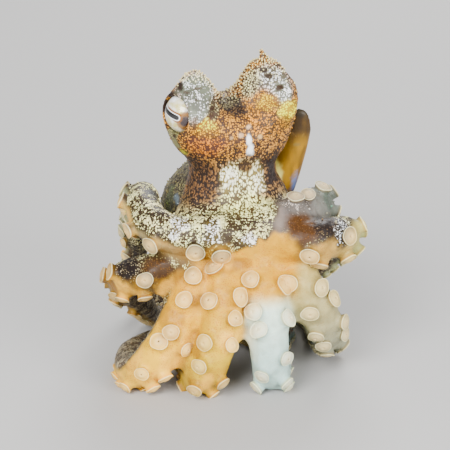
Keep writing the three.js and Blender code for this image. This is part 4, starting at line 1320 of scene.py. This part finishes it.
def add_siphon(grid):
    """The siphon: a bored tube with a slanting mouth, kept clear of the left eye."""
    part, field, _ = grid.limb_field(SIPHON)
    bore = grid.limb_field(SIPHON, -SIPHON_WALL, SIPHON_BORE_FROM)[1]
    reach = SIPHON.radius.max() + MARGIN
    places = grid.places(SIPHON.point.min(0) - reach, SIPHON.point.max(0) + reach)[1]
    from_end = places - SIPHON.point[-1]
    tilted = unit(SIPHON.tangent[-1] + (0, 0.9, 0))  # the front wall stands higher than the back one
    mouth = -0.2 - 0.2 * (from_end @ SIPHON.side[-1]) ** 2 - from_end @ tilted
    eye = np.linalg.norm(places - np.array(EYE_AT["left"]), axis=-1) - SIPHON_CLEARANCE
    for hollow, soft in ((bore, 0.3), (mouth, 0.6), (eye, 0.4)):
        field = carve(field, hollow, soft)
    grid.field[part] = join(grid.field[part], field, mix(2.4, 0.4, smooth(places[..., 2], 46, 52)))


def add_suckers(grid, settings):
    """Joins on the stalks of the suckers that stand free, and gives their discs' places."""
    discs = []
    for limb in ARMS.values():
        for foot, axis, tangent, rim in sucker_places(limb, settings):
            across = np.cross(axis, tangent)
            face = foot + axis * rim * 1.1
            edge = [face + way * rim * 0.7 for way in (tangent, -tangent, across, -across)]
            crowded = any(np.linalg.norm(disc[0] - foot) < 0.7 * (disc[3] + rim) for disc in discs)
            if not crowded and grid.at(edge).min() > 0:
                discs.append((foot, axis, tangent, rim))
    for foot, axis, _, rim in discs:
        reach = rim * 1.2 + 1

        def stalk(places):
            return stalk_field(places, foot, axis, rim)

        grid.add(foot - reach, foot + reach, stalk, min(1.0, rim * 0.55))
    return discs


def add_mantle(grid):
    """The body bag, with a crease where its edge lies on the neck and blunt papillae on its back."""
    at, half = np.array(MANTLE_BLOB[0]), np.array(MANTLE_BLOB[1])
    reach = half.max() * 1.15 + MARGIN
    part, places = grid.places(at - reach, at + reach)
    bag = blob_field(places, MANTLE_BLOB)
    body = grid.field[part]
    edge = np.exp(-(((bag - body) / 0.5) ** 2)) * smooth(places[..., 2], 30, 34)
    grid.field[part] = join(body, bag, 1.0) + edge * 0.9
    turn = euler(MANTLE_BLOB[2]).T
    for aside, along in MANTLE_PAPILLAE:
        out = unit((math.sin(aside), math.sin(along), math.cos(aside) * math.cos(along)))
        root = at + turn.T @ (out * half * 0.97)
        away = unit(turn.T @ (out / half))
        route = [root - away * 0.8, root + away * 0.4, root + away * 1.2, root + away * 1.9]
        cone = Limb(route, [(1, 0.02, 0)] * 4, [(1.9, 1.9), (1.2, 1.2), (0.6, 0.6), (0.3, 0.3)])
        grid.add_limb(cone, 1.2)


def add_web(grid, first, second, reach, arch):
    """A thin sheet between two arms, as a close field of small balls."""
    a, b = ARMS[first], ARMS[second]
    w = np.linspace(0, 1, WEB_ACROSS)
    balls = []
    for row in np.linspace(0, 1, WEB_DOWN):
        s = mix(WEB_START, reach * (1 - arch * np.sin(np.pi * w)), row)
        balls.append(mix(a.at(s / a.length)[0], b.at(s / b.length)[0], w[:, None]))
    balls = np.concatenate(balls)
    part, lines = grid.window(balls.min(0) - WEB_THICK - MARGIN, balls.max(0) + WEB_THICK + MARGIN)
    field = np.full([len(line) for line in lines], FAR, np.float32)
    for ball in balls:
        box, (x, y, z) = lines_round(lines, ball, WEB_THICK + MARGIN)
        near = np.sqrt(x[:, None, None] ** 2 + y[:, None] ** 2 + z**2) - WEB_THICK
        field[box] = np.minimum(field[box], near)
    grid.field[part] = join(grid.field[part], field, WEB_FILLET)


def paint_discs(paint, body, shares):
    """Suckers are paler than the skin below them, with a light rim, painted shade in the dip inside it,
    a darker orange band under the rim that is partly their own orange ring and partly painted shade
    and, in one of four, a dark pinhole in the middle that is painted shade for the sucker's opening."""
    share = np.concatenate(shares)
    n = slice(body, None)
    pinned = np.random.default_rng(3).uniform(0, 1, len(shares)) < 0.25
    base = paint.ground[n].copy()
    face = mix(base, tone("#eee2d2"), (0.32 + 0.16 * smooth(share, 0.7, 0.2))[:, None])
    # painted shade in the dip between the dome and the rim
    groove_shade = smooth(share, 0.76, 0.85) * smooth(share, 0.95, 0.9)
    face = mix(face, base * (0.95, 0.84, 0.66), groove_shade[:, None] * 0.45)
    rim = smooth(share, 0.9, 0.96) * smooth(share, 2.1, 2.02)
    face = mix(face, tone("#f4eadb"), rim[:, None] * 0.4)
    # painted shade for the sucker's opening: a dark pinhole in one sucker of four
    pinhole_shade = smooth(share, 0.09, 0.05) * np.repeat(pinned, [len(s) for s in shares])
    face = mix(face, tone("#6a4c34"), pinhole_shade[:, None])
    # darker orange just under the rim, fading down the side: partly the suckers' own orange ring, partly
    # painted shade under the rim
    side = mix(base * (1.0, 0.78, 0.5), base, smooth(share, 2.12, 2.5)[:, None])
    face = mix(face, side, smooth(share, 2.05, 2.14)[:, None])
    paint.ground[n] = face
    paint.cell[n] = face
    for amounts in (paint.fine, paint.coarse, paint.speck):
        amounts[n] = 0


def paint_beads(paint, feet, vertices):
    """Beads take the colour of the skin's cells under them, and are ivory on the turrets."""
    n = len(vertices) - len(paint.places)
    if not feet:
        return
    feet = np.repeat(feet, n // len(feet))
    colour = mix(paint.ground[feet], paint.cell[feet], 0.75)
    ivory = smooth(vertices[-n:, 2], 61, 66)[:, None] * 0.7
    colour = mix(colour, tone("#e6e2d2"), ivory)
    paint.ground = np.concatenate([paint.ground, colour])
    paint.cell = np.concatenate([paint.cell, colour])
    for key in ("fine", "coarse", "speck"):
        setattr(paint, key, np.concatenate([getattr(paint, key), np.zeros(n)]))
    paint.places = vertices


NOTCH_AT = (0.6, 0, 63.5)  # mm: between the turrets
RIDGE_FOOT = (0.6, 62.5)  # mm, across and up: where the ridges of beads up the two turrets start
HOME_SIZE = 2.8  # mm: wider than the widest spacing of beads


def bead_places(vertices, normals, size):
    """Where the skin carries beads: foot, axis, radius and height, thick at the turrets' tips."""
    rng = np.random.default_rng(8)
    y, z = vertices.T[1:]
    tips = [np.array(limb.point[-1]) for limb in PAPILLAE.values()]
    near = np.min([np.linalg.norm((vertices - tip) * (1, 1, 0.75), axis=1) for tip in tips], 0)
    notch = np.linalg.norm((vertices - NOTCH_AT) * (0.75, 1, 1), axis=1)
    eyes = np.min([np.linalg.norm(vertices - np.array(at), axis=1) for at in EYE_AT.values()], 0)
    siphon = along_arm(SIPHON, vertices)[0]
    gap = np.full(len(vertices), 9.0)
    ridge = np.full(len(vertices), 9.0)
    for tip in tips:
        way, out = tip[[0, 2]] - RIDGE_FOOT, vertices[:, [0, 2]] - RIDGE_FOOT
        along = np.clip((out @ way) / (way @ way), 0, 1)
        ridge = np.minimum(ridge, np.linalg.norm(out - along[:, None] * way, axis=1))
    for part, apart in (
        (near < 3.4, 0.46),
        ((near < 6) & (y > -0.5), 0.62),
        ((ridge < 1.8) & (y > -3.6), 0.56),
        ((notch < 4) & (z > 61), 0.62),
        ((z > 53) & (y > -3), 1.7),
        ((y > 6) & (z > 12), 2.1),
        ((z > 36) & (z < 44) & (y < 8), 2.6),
    ):
        gap[part] = np.minimum(gap[part], apart)
    gap[(siphon < 1.4) | (eyes < 5.6) | (z < 8)] = 9
    order = rng.permutation(np.flatnonzero(gap < 8))
    cells = np.concatenate([np.floor(vertices[order] / gap[order, None]), gap[order, None]], 1)
    order = order[np.sort(np.unique(cells, axis=0, return_index=True)[1])]
    taken = {}
    beads = []
    for i in order:
        home = tuple(np.floor(vertices[i] / HOME_SIZE).astype(int))
        near_by = [
            j
            for step in np.ndindex(3, 3, 3)
            for j in taken.get(tuple(h + k - 1 for h, k in zip(home, step)), ())
        ]
        if near_by and (((vertices[near_by] - vertices[i]) ** 2).sum(1) < gap[i] ** 2).any():
            continue
        taken.setdefault(home, []).append(i)
        r = size * rng.uniform(0.7, 1.25) * (1 if gap[i] < 1 else 1.15)
        lean = unit(normals[i] + rng.normal(0, 0.25, 3) + (0, 0, 0.3))
        beads.append((i, vertices[i] - normals[i] * r * 0.3, lean, r, r * rng.uniform(1.2, 2.3)))
    return beads


def bead_mesh(foot, axis, radius, height, sides=7):
    """One small rounded bead."""
    side = unit(np.cross(axis, (0.31, 0.85, 0.42)))
    other = np.cross(axis, side)
    angle = np.arange(sides) / sides * 2 * math.pi
    ring = side * np.cos(angle)[:, None] + other * np.sin(angle)[:, None]
    rings = [
        foot + ring * radius * r + axis * height * h
        for r, h in ((0.9, -0.1), (0.8, 0.3), (0.85, 0.6), (0.6, 0.88))
    ]
    vertices = np.concatenate(rings + [(foot + axis * height)[None], foot[None]])
    step = np.arange(sides)
    following = (step + 1) % sides
    ring_quad = np.stack([step, following, following + sides, step + sides], 1)
    quads = [k * sides + ring_quad for k in range(len(rings) - 1)]
    last = len(rings) * sides
    top = np.stack([last - sides + step, last - sides + following, np.full(sides, last)], 1)
    foot_fan = np.stack([following, step, np.full(sides, last + 1)], 1)
    return vertices, np.concatenate(quads), np.concatenate([top, foot_fan])


def eyeball(radius, around=72, down=48):
    """A ball whose pole is the middle of the eye: vertices and faces."""
    angle = np.linspace(0, 2 * math.pi, around, endpoint=False)
    circle = np.stack([np.cos(angle), np.sin(angle), np.ones(around)], 1)
    polar = np.linspace(0, math.pi, down + 1)[1:-1]
    rows = [circle * (math.sin(p), math.sin(p), math.cos(p)) for p in polar]
    vertices = np.concatenate([[[0, 0, 1.0]], *rows, [[0, 0, -1.0]]]) * radius
    step = np.arange(around)
    following = (step + 1) % around
    faces = [(0, 1 + a, 1 + b) for a, b in zip(step, following)]
    for k in range(len(polar) - 1):
        a, b = 1 + k * around, 1 + (k + 1) * around
        faces += [(a + i, b + i, b + j, a + j) for i, j in zip(step, following)]
    last = len(vertices) - 1
    a = last - around
    faces += [(a + i, last, a + j) for i, j in zip(step, following)]
    return vertices, faces


class OCTOPUS_OT_skin(bpy.types.Operator):
    """Build the skin of head, mantle, siphon, arms and suckers as one piece"""

    bl_idname = "octopus.skin"
    bl_label = "Skin"

    def execute(self, context):
        scene = context.scene
        grid, discs = build_field(scene.octopus_skin, scene.octopus_sucker)
        vertices, quads = surface(grid)
        edges = edges_of(quads)
        vertices = relaxed(vertices, edges, 2)
        vertices += normals_of(vertices, quads) * wrinkles(vertices)[:, None]
        vertices[:, 2] = np.maximum(vertices[:, 2], 0)
        parts, faces, tris, shares = [vertices], [quads], [], []

        def put(v, q, t):
            start = sum(len(part) for part in parts)
            parts.append(v)
            faces.append(q + start)
            tris.append(t + start)

        for n, disc in enumerate(discs):
            v, q, t, share = disc_mesh(*disc, n)
            v[:, 2] = np.maximum(v[:, 2], DISC_FLOOR)
            put(v, q, t)
            shares.append(share)
        with_discs = np.concatenate(parts)
        beads = bead_places(vertices, normals_of(vertices, quads), scene.octopus_look.bead_size)
        for _, *shape in beads:
            put(*bead_mesh(*shape))
        paint = painted(with_discs)
        paint_discs(paint, len(vertices), shares)
        vertices = np.concatenate(parts)
        faces = np.concatenate(faces).tolist() + np.concatenate(tris).tolist()
        paint_beads(paint, [i for i, *_ in beads], vertices)
        skin = new_mesh(
            "octopus_skin",
            vertices,
            faces,
            {key: getattr(paint, key) for key in ("ground", "cell", "fine", "coarse", "speck")}
            | {"pattern": pattern_places(vertices)},
        )
        skin.data.materials.append(skin_material(scene.octopus_look))
        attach(skin, "root")
        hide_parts(*[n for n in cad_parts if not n.startswith("eye_")])
        return {"FINISHED"}


class OCTOPUS_OT_eyes(bpy.types.Operator):
    """Build the two eyeballs with their slit pupils"""

    bl_idname = "octopus.eyes"
    bl_label = "Eyes"

    def execute(self, context):
        settings = context.scene.octopus_eye
        material = eye_material()
        for side, at in EYE_AT.items():
            outward, ahead, up = gaze(side)
            tilt = settings.slit_tilt
            along = ahead * math.cos(tilt) - up * math.sin(tilt)
            across = ahead * math.sin(tilt) + up * math.cos(tilt)
            vertices, faces = eyeball(settings.radius)
            places = np.array(at) + vertices @ np.stack([along, across, outward])
            if side == "left":
                faces = [face[::-1] for face in faces]
            eye = new_mesh(f"octopus_eye_{side}", places, faces, {"eye_plane": vertices})
            eye.data.materials.append(material)
            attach(eye, "root")
            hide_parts(f"eye_{side}")
        return {"FINISHED"}


# ---- the stage ----
FLOOR_HALF = 2.5  # m
AIM_HEIGHT = 34.0  # mm above the floor, where the camera and the lights aim
LENS, CAMERA_DISTANCE, CAMERA_RISE = 152.7, 0.42, math.radians(18)  # mm, m, angle
# Each light: its name, where it stands from the aim (m), its width (m) and its power (W).
LIGHTS = [
    ("key", (-0.25, -0.6, 0.42), 0.36, 13),
    ("fill", (0.42, -0.52, 0.15), 0.4, 9),
    ("back", (0.1, 0.6, 0.5), 0.4, 7),
]


class OCTOPUS_OT_stage(bpy.types.Operator):
    """Set the plain floor, the soft lights and the camera"""

    bl_idname = "octopus.stage"
    bl_label = "Stage"

    def execute(self, context):
        scene = context.scene
        mesh = bpy.data.meshes.new("floor")
        corners = [(x * FLOOR_HALF, y * FLOOR_HALF, 0) for x, y in ((-1, -1), (1, -1), (1, 1), (-1, 1))]
        mesh.from_pydata(corners, [], [(0, 1, 2, 3)])
        floor = bpy.data.objects.new("floor", mesh)
        scene.collection.objects.link(floor)
        material = bpy.data.materials.new("pale_floor")
        material.use_nodes = True
        shader = material.node_tree.nodes["Principled BSDF"]
        shader.inputs["Base Color"].default_value = (0.42, 0.415, 0.41, 1)
        shader.inputs["Roughness"].default_value = 0.8
        floor.data.materials.append(material)
        world = bpy.data.worlds.new("studio")
        world.use_nodes = True
        sky = world.node_tree.nodes["Background"]
        sky.inputs["Color"].default_value = (1, 1, 1, 1)
        sky.inputs["Strength"].default_value = 0.5
        scene.world = world
        centre = Vector((placement() + np.array([0, 0, AIM_HEIGHT])).tolist()) * MM
        for name, at, size, power in LIGHTS:
            light = bpy.data.lights.new(name, "AREA")
            light.size, light.energy = size, power
            lamp = bpy.data.objects.new(name, light)
            lamp.location = centre + Vector(at)
            lamp.rotation_mode = "QUATERNION"
            lamp.rotation_quaternion = (-Vector(at)).to_track_quat("-Z", "Y")
            scene.collection.objects.link(lamp)
        camera = bpy.data.cameras.new("camera")
        camera.lens = LENS
        camera.clip_start = 0.01
        eye = bpy.data.objects.new("camera", camera)
        away = Vector((0, -math.cos(CAMERA_RISE), math.sin(CAMERA_RISE)))
        eye.location = centre + away * CAMERA_DISTANCE
        eye.rotation_mode = "QUATERNION"
        eye.rotation_quaternion = (-away).to_track_quat("-Z", "Y")
        scene.collection.objects.link(eye)
        scene.camera = eye
        return {"FINISHED"}


class OCTOPUS_PT_panel(bpy.types.Panel):
    """The steps that build the octopus"""

    bl_label = "Octopus"
    bl_idname = "OCTOPUS_PT_panel"
    bl_space_type = "VIEW_3D"
    bl_region_type = "UI"
    bl_category = "Octopus"

    def draw(self, context):
        for group in GROUPS:
            settings = getattr(context.scene, group)
            for key in settings.__annotations__:
                self.layout.prop(settings, key)
        for name in STEPS:
            self.layout.operator(f"octopus.{name}")


STEPS = ("skin", "eyes", "stage")
GROUPS = {
    "octopus_skin": OctopusSkinSettings,
    "octopus_sucker": OctopusSuckerSettings,
    "octopus_look": OctopusLookSettings,
    "octopus_eye": OctopusEyeSettings,
}
CLASSES = (*GROUPS.values(), OCTOPUS_OT_skin, OCTOPUS_OT_eyes, OCTOPUS_OT_stage, OCTOPUS_PT_panel)


def register():
    for item in CLASSES:
        bpy.utils.register_class(item)
    for name, group in GROUPS.items():
        setattr(bpy.types.Scene, name, bpy.props.PointerProperty(type=group))


def unregister():
    for name in GROUPS:
        delattr(bpy.types.Scene, name)
    for item in reversed(CLASSES):
        bpy.utils.unregister_class(item)


def main():
    register()
    for name in STEPS:
        getattr(bpy.ops.octopus, name)()


if __name__ == "__main__":
    main()
